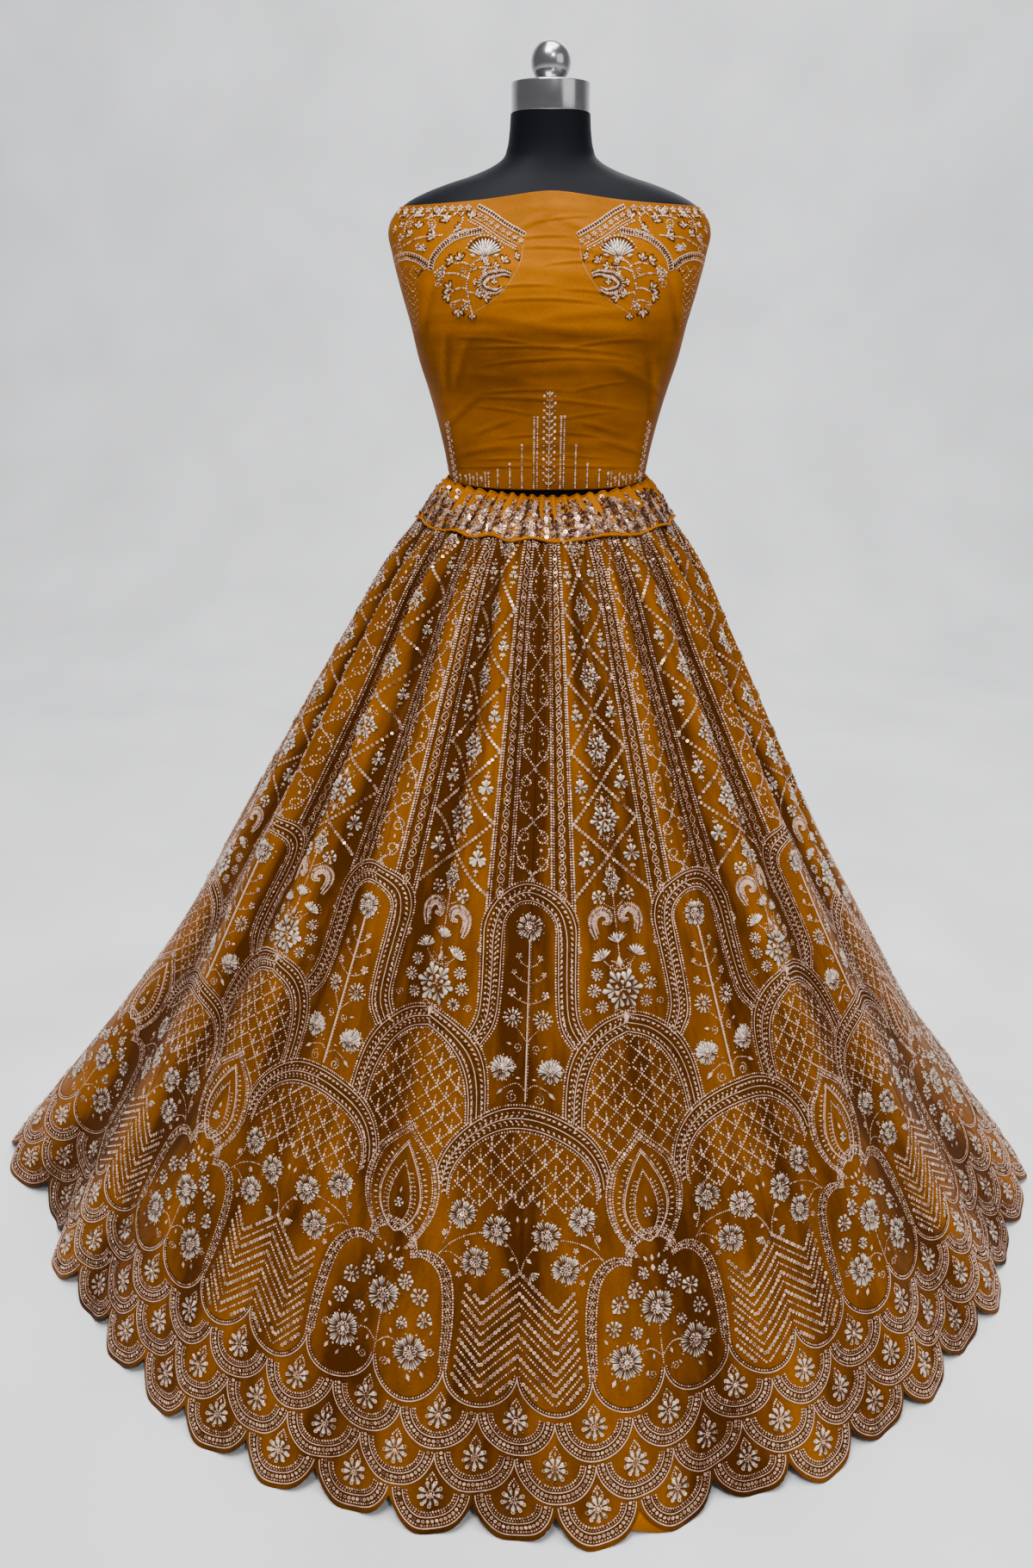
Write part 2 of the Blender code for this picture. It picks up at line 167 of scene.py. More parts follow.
BARE_SECTIONS = (
    # height, half_width, front, back
    (0.740, 0.1400, 0.0860, 0.0980),
    (0.760, 0.1520, 0.0940, 0.1080),
    (0.800, 0.1560, 0.0960, 0.1120),
    (0.860, 0.1480, 0.0920, 0.1050),
    (0.920, 0.1320, 0.0850, 0.0900),
    (0.965, 0.1215, 0.0815, 0.0820),
    (1.3340, 0.1180, 0.0610, 0.0660),
    (1.3410, 0.0940, 0.0570, 0.0610),
    (1.3500, 0.0700, 0.0530, 0.0560),
    (1.3590, 0.0550, 0.0500, 0.0515),
    (1.3700, 0.0495, 0.0475, 0.0485),
    (1.3850, 0.0468, 0.0458, 0.0462),
    (1.4047, 0.0452, 0.0448, 0.0448),
)


# Surfaces


def rows_at(table, height):
    """The rows of a section table at many heights, on a smooth curve through them."""
    rows = np.array(sorted(table), float)
    marks = rows[:, 0]
    slopes = np.gradient(rows[:, 1:], marks, axis=0)
    height = np.clip(height, marks[0], marks[-1])
    i = np.clip(np.searchsorted(marks, height, side="right") - 1, 0, len(marks) - 2)
    span = (marks[i + 1] - marks[i])[..., None]
    s = (height - marks[i])[..., None] / span
    return (
        (2 * s**3 - 3 * s**2 + 1) * rows[i, 1:]
        + (s**3 - 2 * s**2 + s) * span * slopes[i]
        + (3 * s**2 - 2 * s**3) * rows[i + 1, 1:]
        + (s**3 - s**2) * span * slopes[i + 1]
    )


def direction(angle):
    turn = np.radians(angle)
    return np.cos(turn), -np.sin(turn)


def skirt_radius(angle, height):
    """The skirt's plan without folds: nearly round, drawn out at the sides, flatter behind."""
    left_arm, front, right_arm, back = np.moveaxis(rows_at(SKIRT_SECTIONS, height), -1, 0)
    across, ahead = direction(angle)
    side = np.where(across > 0, left_arm, right_arm)
    before = front + (side - front) * np.abs(across) ** 5
    behind = back + (side - back) * across**2
    return np.where(ahead < 0, before, behind)


def fold_depth(angle, down):
    """How far the gathers' folds and the hem's own folds push the cloth out or in."""
    turn = np.radians(angle)
    starting = 1 - np.exp(-down / 0.05)
    unevenness = 1 + 0.40 * np.sin(3 * turn + 0.6) + 0.30 * np.sin(7 * turn + 2.0)
    big = 0.0085 * np.exp(-(((down - 0.16) / 0.30) ** 2)) + 0.0030
    small = 0.0030 * np.exp(-(((down - 0.06) / 0.13) ** 2))
    gathered = starting * (
        big * unevenness * np.sin(BIG_FOLDS * turn + 1.4 * np.sin(2 * turn))
        + small * np.sin(SMALL_FOLDS * turn + 0.9)
    )
    strength = np.clip((down - HEM_FOLDS_START) / (1 - HEM_FOLDS_START), 0, None) ** 1.3
    hem = 0.0
    for fold_angle, out, half_width in HEM_FOLDS:
        hem = hem + out * np.exp(-((angle_from(angle, fold_angle) / half_width) ** 2))
    return gathered + strength * hem


def fold_crest(angle, down):
    """0 in the valley of a fold, 1 on its crest: where the net and its stitches are painted in shade and where in
    light.
    """
    reach = 360 / BIG_FOLDS / 3
    depth, before, after = (fold_depth(angle + turn, down) for turn in (0, -reach, reach))
    return np.clip(0.5 + (depth - (before + after) / 2) / CREST_DEPTH, 0, 1)


def pucker_depth(angle, down):
    """Small draping that the beadwork's weight gives the cloth, finer than the solids have."""
    turn = np.radians(angle)
    drift = 0.9 * np.sin(9 * down + 2 * turn)
    fine = 0.0011 * np.sin(58 * turn + 3.0 * np.sin(5 * down) + drift) * np.exp(-down / 0.35)
    soft = 0.0016 * np.sin(27 * turn + 4.0 * down + drift) * np.clip(down - 0.1, 0, 1)
    lift = 0.0013 * np.sin(96 * turn) * np.clip((down - 0.90) / 0.10, 0, 1)
    return fine + soft + lift


def angle_from(angle, other):
    """Degrees from one direction to another, the short way round."""
    return (angle - other + 180) % 360 - 180


def skirt_surface(angle, down):
    height = SEAM_HEIGHT * (1 - down)
    radius = skirt_radius(angle, height) + fold_depth(angle, down) + pucker_depth(angle, down)
    across, ahead = direction(angle)
    return np.stack([across * radius, ahead * radius, height], -1)


def body_surface(sections, angle, height):
    """A superellipse with its own depth to front and back, from a table of sections."""
    half_width, front, back = np.moveaxis(rows_at(sections, height), -1, 0)
    across, ahead = direction(angle)
    depth = np.where(ahead < 0, front, back)
    power = BODY_ROUNDNESS
    reach = (np.abs(across / half_width) ** power + np.abs(ahead / depth) ** power) ** (-1 / power)
    return np.stack([across * reach, ahead * reach, height + 0 * reach], -1)


def pushed_in(point, depth):
    """Points moved towards the body's axis by a depth."""
    radius = np.hypot(point[..., 0], point[..., 1])
    return point * np.stack([1 - depth / radius, 1 - depth / radius, 1 + 0 * radius], -1)


def unit(vectors):
    return vectors / np.maximum(np.linalg.norm(vectors, axis=-1, keepdims=True), 1e-12)


def frames_on(surface, u, v, u_step, v_step):
    """Points of a surface with unit vectors along u, down it and out of it."""
    point = surface(u, v)
    along = unit(surface(u + u_step, v) - surface(u - u_step, v))
    fall = surface(u, v + v_step) - surface(u, v - v_step)
    out = unit(np.cross(along, fall))
    return point, along, np.cross(out, along), out


def skirt_frames(angle, down):
    return frames_on(skirt_surface, angle, down, 0.05, 0.001)


def band_frames(angle, share):
    return frames_on(band_surface, angle, share, 0.1, 0.004)


# Meshes


def new_object(name, data):
    made = bpy.data.objects.new(name, data)
    bpy.context.scene.collection.objects.link(made)
    return made


def mark_points(made, name, values):
    """Stores a number for each point of a mesh, which its material reads."""
    attribute = made.data.attributes.new(name, "FLOAT", "POINT")
    attribute.data.foreach_set("value", np.ravel(values).astype(np.float32))


def new_mesh(name, points, faces, materials, uv=None, smooth=True, face_material=None):
    """A mesh object from arrays, with faces of one corner count."""
    corners = faces.shape[1]
    mesh = bpy.data.meshes.new(name)
    mesh.vertices.add(len(points))
    mesh.vertices.foreach_set("co", np.ascontiguousarray(points, np.float32).ravel())
    mesh.loops.add(faces.size)
    mesh.loops.foreach_set("vertex_index", np.ascontiguousarray(faces, np.int32).ravel())
    mesh.polygons.add(len(faces))
    mesh.polygons.foreach_set("loop_start", np.arange(0, faces.size, corners, dtype=np.int32))
    mesh.update(calc_edges=True)
    mesh.validate()
    for finish in materials:
        mesh.materials.append(finish)
    if face_material is not None:
        mesh.polygons.foreach_set("material_index", np.ascontiguousarray(face_material, np.int32))
    if uv is not None:
        layer = mesh.uv_layers.new(name="cloth")
        layer.data.foreach_set("uv", np.ascontiguousarray(uv[faces.ravel()], np.float32).ravel())
    if smooth:
        mesh.shade_smooth()
    return new_object(name, mesh)


def cloth_wall(name, outer, out, thickness, closed_round, finish, uv, level_floor=False):
    """A thin closed wall from one grid of points and their outward vectors."""
    rows, columns = outer.shape[:2]
    inner = outer - out * thickness
    if level_floor:
        inner[..., 2] = np.maximum(inner[..., 2], 0.0)
    index = np.arange(rows * columns).reshape(rows, columns)
    if closed_round:
        index = np.concatenate([index, index[:, :1]], 1)
    a, b = index[:-1, :-1].ravel(), index[:-1, 1:].ravel()
    c, d = index[1:, 1:].ravel(), index[1:, :-1].ravel()
    inside = rows * columns
    faces = [np.stack([a, d, c, b], 1), np.stack([a, b, c, d], 1) + inside]
    top, foot, left, right = index[0], index[-1], index[:, 0], index[:, -1]
    rims = [(top[:-1], top[1:]), (foot[1:], foot[:-1])]
    if not closed_round:
        rims += [(left[1:], left[:-1]), (right[:-1], right[1:])]
    for first, second in rims:
        faces.append(np.stack([first, second, second + inside, first + inside], 1))
    faces = np.concatenate(faces)
    points = np.concatenate([outer.reshape(-1, 3), inner.reshape(-1, 3)])
    uv = np.concatenate([uv.reshape(-1, 2)] * 2)
    return new_mesh(name, points, faces, [finish], uv)


def settle(made, slot, *nodes):
    """The piece rides on the body and stands for its solids."""
    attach(made, BODY)
    if nodes:
        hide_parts(*nodes)
    return made


# Flat charts of embroidery


def resampled(path, spacing):
    """Points at even steps along a path, and the direction there."""
    path = np.asarray(path, float)
    lengths = np.linalg.norm(np.diff(path, axis=0), axis=1)
    reach = np.concatenate([[0], np.cumsum(lengths)])
    count = max(2, int(round(reach[-1] / spacing)) + 1)
    at = np.linspace(0, reach[-1], count)
    points = np.stack([np.interp(at, reach, path[:, k]) for k in (0, 1)], 1)
    return points, unit(np.gradient(points, axis=0))


def curved(points, steps=8):
    """A smooth path through a few points."""
    p = np.asarray(points, float)
    p = np.concatenate([2 * p[:1] - p[1:2], p, 2 * p[-1:] - p[-2:-1]])
    t = np.linspace(0, 1, steps, endpoint=False)[:, None]
    pieces = []
    for i in range(1, len(p) - 2):
        a, b, c, d = p[i - 1], p[i], p[i + 1], p[i + 2]
        pieces.append(
            0.5 * (2 * b + (c - a) * t + (2 * a - 5 * b + 4 * c - d) * t**2 + (3 * b - a - 3 * c + d) * t**3)
        )
    return np.concatenate([*pieces, p[-2:-1]])


def arc(centre, radius, start, end, steps=24):
    """Part of a circle or an ellipse, in degrees: 0 to the side, 90 down the cloth."""
    turn = np.radians(np.linspace(start, end, steps))
    radii = np.broadcast_to(radius, 2)
    return np.stack([centre[0] + radii[0] * np.cos(turn), centre[1] + radii[1] * np.sin(turn)], 1)


def spiral(centre, radius, start, turns, hand, inner=0.25):
    """A curl that closes in on its centre."""
    t = np.linspace(0, 1, int(22 * abs(turns)) + 4)
    turn = np.radians(start) + hand * t * turns * math.tau
    reach = radius * (1 - (1 - inner) * t)
    return np.stack([centre[0] + reach * np.cos(turn), centre[1] + reach * np.sin(turn)], 1)


class Chart:
    """Stitches on flat cloth. Each row is an origin across, x, s and a direction, then its sizes."""

    def __init__(self):
        self.origin = 0.0
        self.rows = {"ground": [], "bead": [], "sequin": [], "petal": [], "rib": [], "cord": []}

    def keep(self, kind, points, *columns):
        count = len(points)
        if count:
            columns = [np.broadcast_to(np.asarray(c, float), count) for c in columns]
            origin = np.full(count, self.origin)
            self.rows[kind].append(np.stack([origin, *np.asarray(points, float).T, *columns], 1))

    def beads(self, path, spacing, size, where=None, kind="bead"):
        points, _ = resampled(path, spacing)
        if where is not None:
            points = points[where(points)]
        self.keep(kind, points, size)

    def sequins(self, path, spacing, size, where=None):
        self.beads(path, spacing, size, where, "sequin")

    def cord(self, path, width, where=None, step=4.5, kind="cord"):
        points, _ = resampled(path, step)
        middle = (points[1:] + points[:-1]) / 2
        kept = np.ones(len(middle), bool) if where is None else where(middle)
        self.keep(kind, np.concatenate([points[:-1], points[1:]], 1)[kept], width)

    def ground(self, path, width, where=None):
        """Dark strips laid flat under a border or a motif: dark thread, and painted shadow under and between its
        stitches.
        """
        self.cord(path, width, where, 7.0, "ground")

    def twig(self, hand, points, size=0.9):
        """A beaded stalk through a few points, mirrored when hand is -1."""
        self.beads(curved(np.array(points, float) * (hand, 1)), 2.6, size)

    def rings(self, path, radius=3.2):
        """Eyelets in a row: a ring of beads with a sequin in it."""
        points, _ = resampled(path, 8.2)
        for turn in range(0, 360, 60):
            self.keep("bead", points + radius * step_towards(turn), 1.0)
        self.keep("sequin", points, 0.55 * radius)

    def petals(self, points, turn, length, width, lift=0.5):
        """Padded satin-stitch leaves, each from its foot in the direction turn, in degrees."""
        self.keep("petal", np.reshape(points, (-1, 2)), turn, length, width, lift)

    def leaf(self, hand, x, s, turn, length, width):
        """One petal, mirrored when hand is -1."""
        self.petals([(hand * x, s)], mirrored(turn, hand), length, width)

    def ribs(self, points, turn, length, width, lift=0.5):
        """The same, blunt and widest near the end."""
        self.keep("rib", np.reshape(points, (-1, 2)), turn, length, width, lift)

    def laid(self):
        """All rows by kind, each with its own number of columns."""
        columns = {"ground": 6, "bead": 4, "sequin": 4, "petal": 7, "rib": 7, "cord": 6}
        return {
            kind: np.concatenate([np.zeros((0, columns[kind])), *rows]) for kind, rows in self.rows.items()
        }

    def veins(self, path, spacing, length, width, lean, sides=(1, -1)):
        """Small leaves that lean away on both sides of a line."""
        points, along = resampled(path, spacing)
        turn = degrees_along(along)
        for side in sides:
            self.petals(points, turn + side * lean, length, width)

    def flower(self, x, s, radius, petals=8, turn=0.0):
        """A bloom of rounded lobes with gaps between them, and a raised heart. A small one has plain petals."""
        count = np.arange(petals)
        at = turn + count * 360.0 / petals + 30.0 / petals * np.sin(1.9 * count + s)
        uneven = 1 + 0.14 * np.sin(2.4 * count + x)
        if radius < 11:
            self.ribs(arc_points((x, s), 0.30 * radius, at), at, 0.70 * radius * uneven, 4.3 * radius / petals, 0.9)
            self.keep("bead", arc_points((x, s), 0.24 * radius, at[::2]), 0.8 + 0.04 * radius)
            self.keep("bead", [(x, s)], 0.9 + 0.05 * radius)
            return
        # a dark disc under the lobes, painted shadow that shows in the gaps between them
        self.ground(arc((x, s), 0.50 * radius, 0, 360, 9), 0.62 * radius)
        for part, reach in ((-1, 0.56), (0, 0.62), (1, 0.56)):
            way = at + part * 104.0 / petals
            self.ribs(arc_points((x, s), 0.38 * radius, way), way, reach * radius * uneven, 1.5 * radius / petals, 0.9)
        self.keep("bead", arc_points((x, s), 0.38 * radius, at + 180.0 / petals), 0.7 + 0.03 * radius)
        self.keep("sequin", arc_points((x, s), 0.88 * radius, at[::3]), 1.5)
        self.keep("bead", arc_points((x, s), 1.04 * radius, at + 180.0 / petals), 1.1)
        self.ribs(arc_points((x, s), 0.08 * radius, at), at, 0.30 * radius, 1.5 * radius / petals, 1.5)
        self.keep("sequin", [(x, s)], 0.13 * radius + 0.6)

    def burst(self, x, s, radius, rays=9):
        """A rosette of bead rays."""
        at = np.arange(rays) * 360.0 / rays
        self.ribs(arc_points((x, s), 0.28 * radius, at), at, 0.52 * radius, 3.2 * radius / rays, 0.6)
        self.keep("bead", arc_points((x, s), 0.90 * radius, at), 1.25)
        self.keep("sequin", [(x, s)], 0.22 * radius + 0.5)

    def berry(self, x, s, radius):
        """Five small leaves round a bead."""
        at = np.arange(5) * 72.0 + 18
        self.petals(arc_points((x, s), 0.2 * radius, at), at, radius, 0.9 * radius, 0.6)
        self.keep("bead", [(x, s)], 1.1)

    def fan(self, x, s, radius, turn, spread=110.0, ribs=7):
        """A half-open bud: ribs that spread from its foot over a padded cup."""
        at = turn + np.linspace(-spread / 2, spread / 2, ribs)
        self.ribs(np.tile((x, s), (ribs, 1)), at, radius, 0.27 * radius, 0.9)
        self.keep("bead", arc_points((x, s), 1.02 * radius, at), 1.15)
        self.petals([(x, s)], turn, 0.5 * radius, 0.62 * radius, 1.5)

    def sprig(self, x, s, length, turn, leaves=3):
        """A short beaded stalk with leaves along it and a berry at its end."""
        way = step_towards(turn)
        start = np.array([x, s])
        self.beads([start, start + way * length], 2.6, 0.95)
        for i in range(leaves):
            foot = start + way * length * (i + 1) / (leaves + 0.5)
            self.petals([foot], turn + (48 if i % 2 else -48), 3.6, 1.9)
        self.berry(*(start + way * length), 2.0)

    def curl(self, x, s, radius, start, hand, turns=1.15):
        self.beads(spiral((x, s), radius, start, turns, hand), 2.4, 0.95)

    def padded(self, path, swell):
        """A curved form padded across with leaves, thickest in its middle."""
        points, along = resampled(path, 1.7)
        turn = degrees_along(along)
        length = swell * np.sin(np.pi * np.linspace(0.12, 0.92, len(points))) + 0.8
        for side in (1, -1):
            self.petals(points, turn + side * 62, length * 1.25, 1.9, 0.9)

    def paisley(self, x, s, size, hand):
        """A curled mango leaf, as a padded hook."""
        self.padded(np.array([x, s]) + size * curved(PAISLEY) * (hand, 1), size * 0.22)

    def rope(self, path, half, spacing=3.0):
        """Two cords with slanted padding between them, on a dark strip of thread and painted shadow."""
        points, along = resampled(path, 3.0)
        self.ground(points, 2 * half + 1.6)
        for way in (-1, 1):
            self.cord(points + way * half * along[:, ::-1] * (1, -1), 1.2, None, 3.0)
        self.veins(points, spacing, 1.1 * half, 1.8, 70)

    def trefoil(self, x, s, turn, size):
        """Three leaves from one foot, on dark strips of painted shadow."""
        turns = turn + np.array([-52, 0, 52])
        for tip in arc_points((x, s), size, turns):
            self.ground([(x, s), tip], 0.46 * size + 0.4)
        self.petals([(x, s)] * 3, turns, size * np.array([0.85, 1.0, 0.85]), 0.46 * size, 0.9)
        self.keep("bead", [(x, s)], 1.3)


def arc_points(centre, radius, degrees):
    turn = np.radians(degrees)
    return np.stack([centre[0] + radius * np.cos(turn), centre[1] + radius * np.sin(turn)], 1)


def degrees_along(steps):
    return np.degrees(np.arctan2(steps[:, 1], steps[:, 0]))


def step_towards(turn):
    return np.array([math.cos(math.radians(turn)), math.sin(math.radians(turn))])


def mirrored(turn, hand):
    """A direction in degrees, turned over to the other side when hand is -1."""
    return turn if hand > 0 else 180 - turn


# The lehenga's chart: x across and s down the cloth, in millimetres

LENGTH_MM = SLANT * 1000
REPEAT_AT_WAIST = 68.0
REPEAT_GROWTH = 0.272         # how much a repeat widens for each millimetre down
ARCH_TOP, ARCH_HALF = 408.0, 54.0
ROUND_CENTRE, ROUND_OUTER, ROUND_INNER = 758.0, (101.0, 99.0), (82.0, 70.0)
HEM_ROWS = (
    # lowest point of its lobes, share of a scallop that it is shifted by, depth of a lobe
    (1115.0, 0.0, 42.0),
    (1073.0, 0.5, 42.0),
    (1030.0, 0.0, 41.0),
    (986.0, 0.5, 40.0),
)
POINTED_OUTER = [(0, 556), (26, 564), (46, 577), (62, 593), (73, 615), (79, 640), (83, 668)]
POINTED_INNER = [(0, 583), (20, 591), (36, 605), (49, 628), (57, 655), (61, 683)]
FLAME_OUTER = [(0, 690), (12, 702), (25, 714), (37, 729), (45, 761), (40, 792), (22, 824)]
FLAME_MIDDLE = [(0, 712), (11, 728), (22, 750), (27, 772), (22, 792), (9, 808), (0, 812)]
FLAME_HEART = [(0, 735), (8, 752), (13, 770), (13, 786), (7, 800), (0, 805)]
SHIELD_DOME = [(0, 799), (14, 801), (25, 809), (31, 826)]
SHIELD_SIDE = [(31, 826), (45, 824), (60, 831), (72, 847), (79, 872), (83, 902), (84, 930), (84, 946)]
SHIELD_HEIGHT = 880.0
HEM_LAYS = (
    # inset from the edge, stitch, its size
    (0.9, "cord", 1.4),
    (3.9, "bead", 1.1),
    (8.2, "sequin", 1.9),
    (12.2, "cord", 1.2),
    (14.8, "bead", 0.8),
    (17.4, "bead", 1.2),
)
PAISLEY = [(0.45, 1.25), (0.62, 0.55), (0.50, -0.10), (0.0, -0.45), (-0.48, -0.15), (-0.42, 0.32), (-0.08, 0.34)]
JAAL_HALF = 96.0              # half width of the trellis before it is cut to its arch
BARE_EDGE = 3.2               # plain cloth between the lowest border and the cut edge


def repeat_width(s):
    return REPEAT_AT_WAIST + REPEAT_GROWTH * np.asarray(s, float)


def column(share, start, end):
    """A line that keeps its share of the repeat's width on the way down."""
    s = np.arange(start, end, 3.0)
    return np.stack([share * repeat_width(s), s], 1)


def ellipse_at(s, centre, radii):
    """Half width of an ellipse at a height, and 0 above and below it."""
    t = (np.asarray(s, float) - centre) / radii[1]
    return radii[0] * np.sqrt(np.clip(1 - t * t, 0, None))


def outside_tall_arch(points):
    x, s = np.abs(points[:, 0]), points[:, 1]
    centre = ARCH_TOP + ARCH_HALF
    return (s < centre) & ~(x < ellipse_at(np.minimum(s, centre), centre, (ARCH_HALF, ARCH_HALF)))


def chart_columns(chart):
    """The upper half: scroll column, two eyed bands and the diamond column."""
    chart.origin = 0.0
    for hand in (1, -1):
        for share in (0.148, 0.1935, 0.239):
            for first, last in ((3, 160), (160, 310), (310, 462)):
                wide = 0.044 * repeat_width((first + last) / 2)
                # dark thread and painted shadow under each band
                chart.ground(column(hand * share, first, last), wide, outside_tall_arch)
        for share, size in ((0.125, 1.5), (0.262, 1.5), (0.141, 1.1), (0.246, 1.1)):
            chart.beads(column(hand * share, 3, 462), 3.2, size, outside_tall_arch)
        s = 8.0
        while s < 445:
            x = hand * 0.1935 * repeat_width(s)
            if outside_tall_arch(np.array([[x, s]]))[0]:
                half = 0.018 * repeat_width(s) + 0.8
                eye = [(x, s - 6.0), (x + half, s), (x, s + 6.0), (x - half, s), (x, s - 6.0)]
                chart.cord(curved(eye, 3), 1.0)
                chart.keep("sequin", [(x, s)], 1.7)
                chart.keep("bead", [(x - 1.6, s + 7.6), (x + 1.6, s + 7.6)], 1.1)
            s += 15.2
    period = 63.0
    s = np.arange(4.0, 425.0, 1.5)
    for hand in (1, -1):
        strand = np.stack([hand * 0.110 * repeat_width(s) * np.sin(np.pi * (s - 24) / period), s], 1)
        chart.beads(strand, 3.3, 1.35, outside_tall_arch)
        for crossing in np.arange(24.0, 420.0, period):
            for above in (-1, 1):
                centre = crossing + above * 17.0
                reach = 0.050 * repeat_width(centre)
                if centre > 6 and outside_tall_arch(np.array([[0.0, centre + reach]]))[0]:
                    at = (hand * 0.058 * repeat_width(centre), centre)
                    chart.beads(spiral(at, reach, -90 * above, 0.95, hand * above, 0.42), 3.0, 1.3)
                    chart.petals([(at[0], centre + above * (reach + 3.0))], 90 * above, 5.0, 3.0)
            for turn in (60, 120, -60, -120):
                chart.petals([(0, crossing)], turn, 3.2 + 0.012 * crossing, 1.8 + 0.005 * crossing)
    chart.origin = 0.5
    step = 84.0
    for hand in (1, -1):
        zigzag = [(hand * 0.228 * repeat_width(k * step / 2) * (1 - k % 2), k * step / 2) for k in range(1, 11)]
        chart.sequins([(hand * 12, 0), *zigzag], 4.6, 2.0)
    for k in range(5):
        s = step * k + (10 if k == 0 else 0)
        diamond_flower(chart, 0, s, 0.128 * repeat_width(s))
    for k in range(5):
        s = step * (k + 0.5)
        for hand in (1, -1):
            x = hand * 0.158 * repeat_width(s)
            reach = 0.058 * repeat_width(s) + 1.0
            trefoil_bloom(chart, x, s, reach)


def trefoil_bloom(chart, x, s, reach):
    """The bloom in a half diamond: three padded lobes round a heart, with a sprig above and below."""
    for turn in (-90, 30, 150):
        lengths = reach * np.array([0.92, 1.0, 0.92])
        chart.ribs([(x, s)] * 3, turn + np.array([-30, 0, 30]), lengths, 0.42 * reach, 0.9)
    chart.keep("sequin", [(x, s)], 0.20 * reach)
    for way in (-1, 1):
        foot = s + way * (reach + 1)
        chart.petals([(x, foot)] * 3, 90 * way + np.array([-40, 0, 40]), 5.5, 2.8)
        chart.keep("bead", [(x, foot + way * 7.5)], 1.4)


def diamond_flower(chart, x, s, radius):
    """The snowflake in a diamond: leaves in threes on six rays, and a curled finial above and below."""
    chart.flower(x, s, min(0.42 * radius, 10.5), 6, 30)
    for turn in range(0, 360, 60):
        foot = arc_points((x, s), 0.34 * radius, np.array([turn]))
        for lean, length in ((-40, 0.44), (0, 0.58), (40, 0.44)):
            chart.ribs(foot, turn + lean, length * radius, 0.24 * radius, 0.9)
    for way in (-1, 1):
        tip = s + way * 0.86 * radius
        chart.petals([(x, tip)], 90 * way, 0.56 * radius, 0.30 * radius, 0.8)
        chart.keep("bead", [(x, tip + way * 0.68 * radius)], 1.5)
        for hand in (-1, 1):
            chart.curl(x + hand * 0.34 * radius, tip + way * 0.12 * radius, 0.25 * radius, 90 * way, hand * way, 1.0)


def vein_band(chart, outer, inner):
    """A border of two bead lines with a corded vein between them, leaved on both sides."""
    share = np.linspace(0, 1, 90)
    ends = []
    for path in (outer, inner):
        points = resampled(path, 2.0)[0]
        marks = np.linspace(0, 1, len(points))
        ends.append(np.stack([np.interp(share, marks, points[:, k]) for k in (0, 1)], 1))

    def between(t):
        return ends[0] * (1 - t) + ends[1] * t

    # dark thread and painted shadow under the border
    for t in (0.12, 0.37, 0.62, 0.87):
        chart.ground(between(t), 6.2)
    for t in (0.13, 0.51, 0.88):
        chart.cord(between(t), 1.1)
    for t, side in ((0.36, 1), (0.69, -1)):
        chart.veins(between(t), 6.2, 5.6, 2.4, 34, (side,))
    for t, spacing, size in ((0.0, 3.2, 1.2), (0.29, 6.6, 1.4), (0.74, 6.6, 1.4), (1.0, 3.2, 1.2)):
        chart.beads(between(t), spacing, size)


def chart_tall_arch(chart):
    """The tall narrow arch with its long-stemmed flower."""
    chart.origin = 0.0
    top = ARCH_TOP + ARCH_HALF
    for hand in (1, -1):
        outer = [*arc((0, top), ARCH_HALF, -90, 0), *curved([(54, 480), (55, 530), (58, 558), (68, 580)])]
        inner = [*arc((0, top), (29, 29), -90, 0), *curved([(29, 480), (31, 540), (36, 572), (50, 594)])]
        vein_band(chart, np.array(outer) * (hand, 1), np.array(inner) * (hand, 1))
    chart.flower(0, 460, 15.5, 10)
    chart.cord([(0, 474), (0, 655)], 2.4)
    chart.beads([(-1.8, 476), (-1.8, 650)], 3.4, 0.7)
    for hand in (1, -1):
        for s, x, bloom in ((494, 12, 3.4), (512, 17, 3.0), (535, 19, 4.4)):
            chart.berry(hand * x, s, bloom)
            chart.beads(curved([(0, s + 12), (hand * 0.55 * x, s + 9), (hand * x, s + 3)]), 2.5, 0.85)
            chart.leaf(hand, 8, s + 5, 60, 4.2, 2.2)
        chart.burst(hand * 17, 563, 11.5, 12)
        chart.twig(hand, [(0, 590), (6, 582), (13, 574)])
        chart.curl(hand * 11, 596, 5.0, 90, hand)
        chart.leaf(hand, 16, 594, -20, 8, 4)
        chart.flower(hand * 27, 619, 14.0, 9, 90)
        chart.fan(hand * 27, 622, 15.0, -90, 150, 9)
        chart.curl(hand * 15, 651, 6.5, -90, hand, 1.4)
        chart.twig(hand, [(0, 644), (10, 636), (24, 641)])
        chart.leaf(hand, 24, 641, 40, 13, 5.5)
        chart.leaf(hand, 6, 630, 0, 6, 2.6)


def chart_bouquet(chart):
    """The bouquet between two tall arches: leaves, blooms, two curled paisleys and a great rosette."""
    chart.origin = 0.5
    diamond_flower(chart, 0, 407, 12)
    chart.beads([(0, 418), (0, 508)], 2.6, 1.0)
    for hand in (1, -1):
        chart.flower(hand * 17, 424, 8.5, 7)
        chart.twig(hand, [(0, 440), (9, 434), (15, 428)])
        chart.paisley(hand * 16, 448, 19, hand)
        chart.paisley(hand * 16, 449, 14, hand)
        chart.fan(hand * 19, 496, 12.0, -90 + hand * 22, 130, 8)
        chart.twig(hand, [(0, 510), (10, 506), (18, 498)])
        for x, s, radius in ((28, 512, 7.0), (33, 530, 7.5), (26, 549, 7.0)):
            chart.burst(hand * x, s, radius, 10)
        chart.curl(hand * 43, 552, 4.6, 0, hand, 1.2)
        chart.sprig(hand * 44, 470, 14, 90, 3)
    chart.fan(0, 480, 13.0, -90, 100, 7)
    diamond_flower(chart, 0, 532, 27)


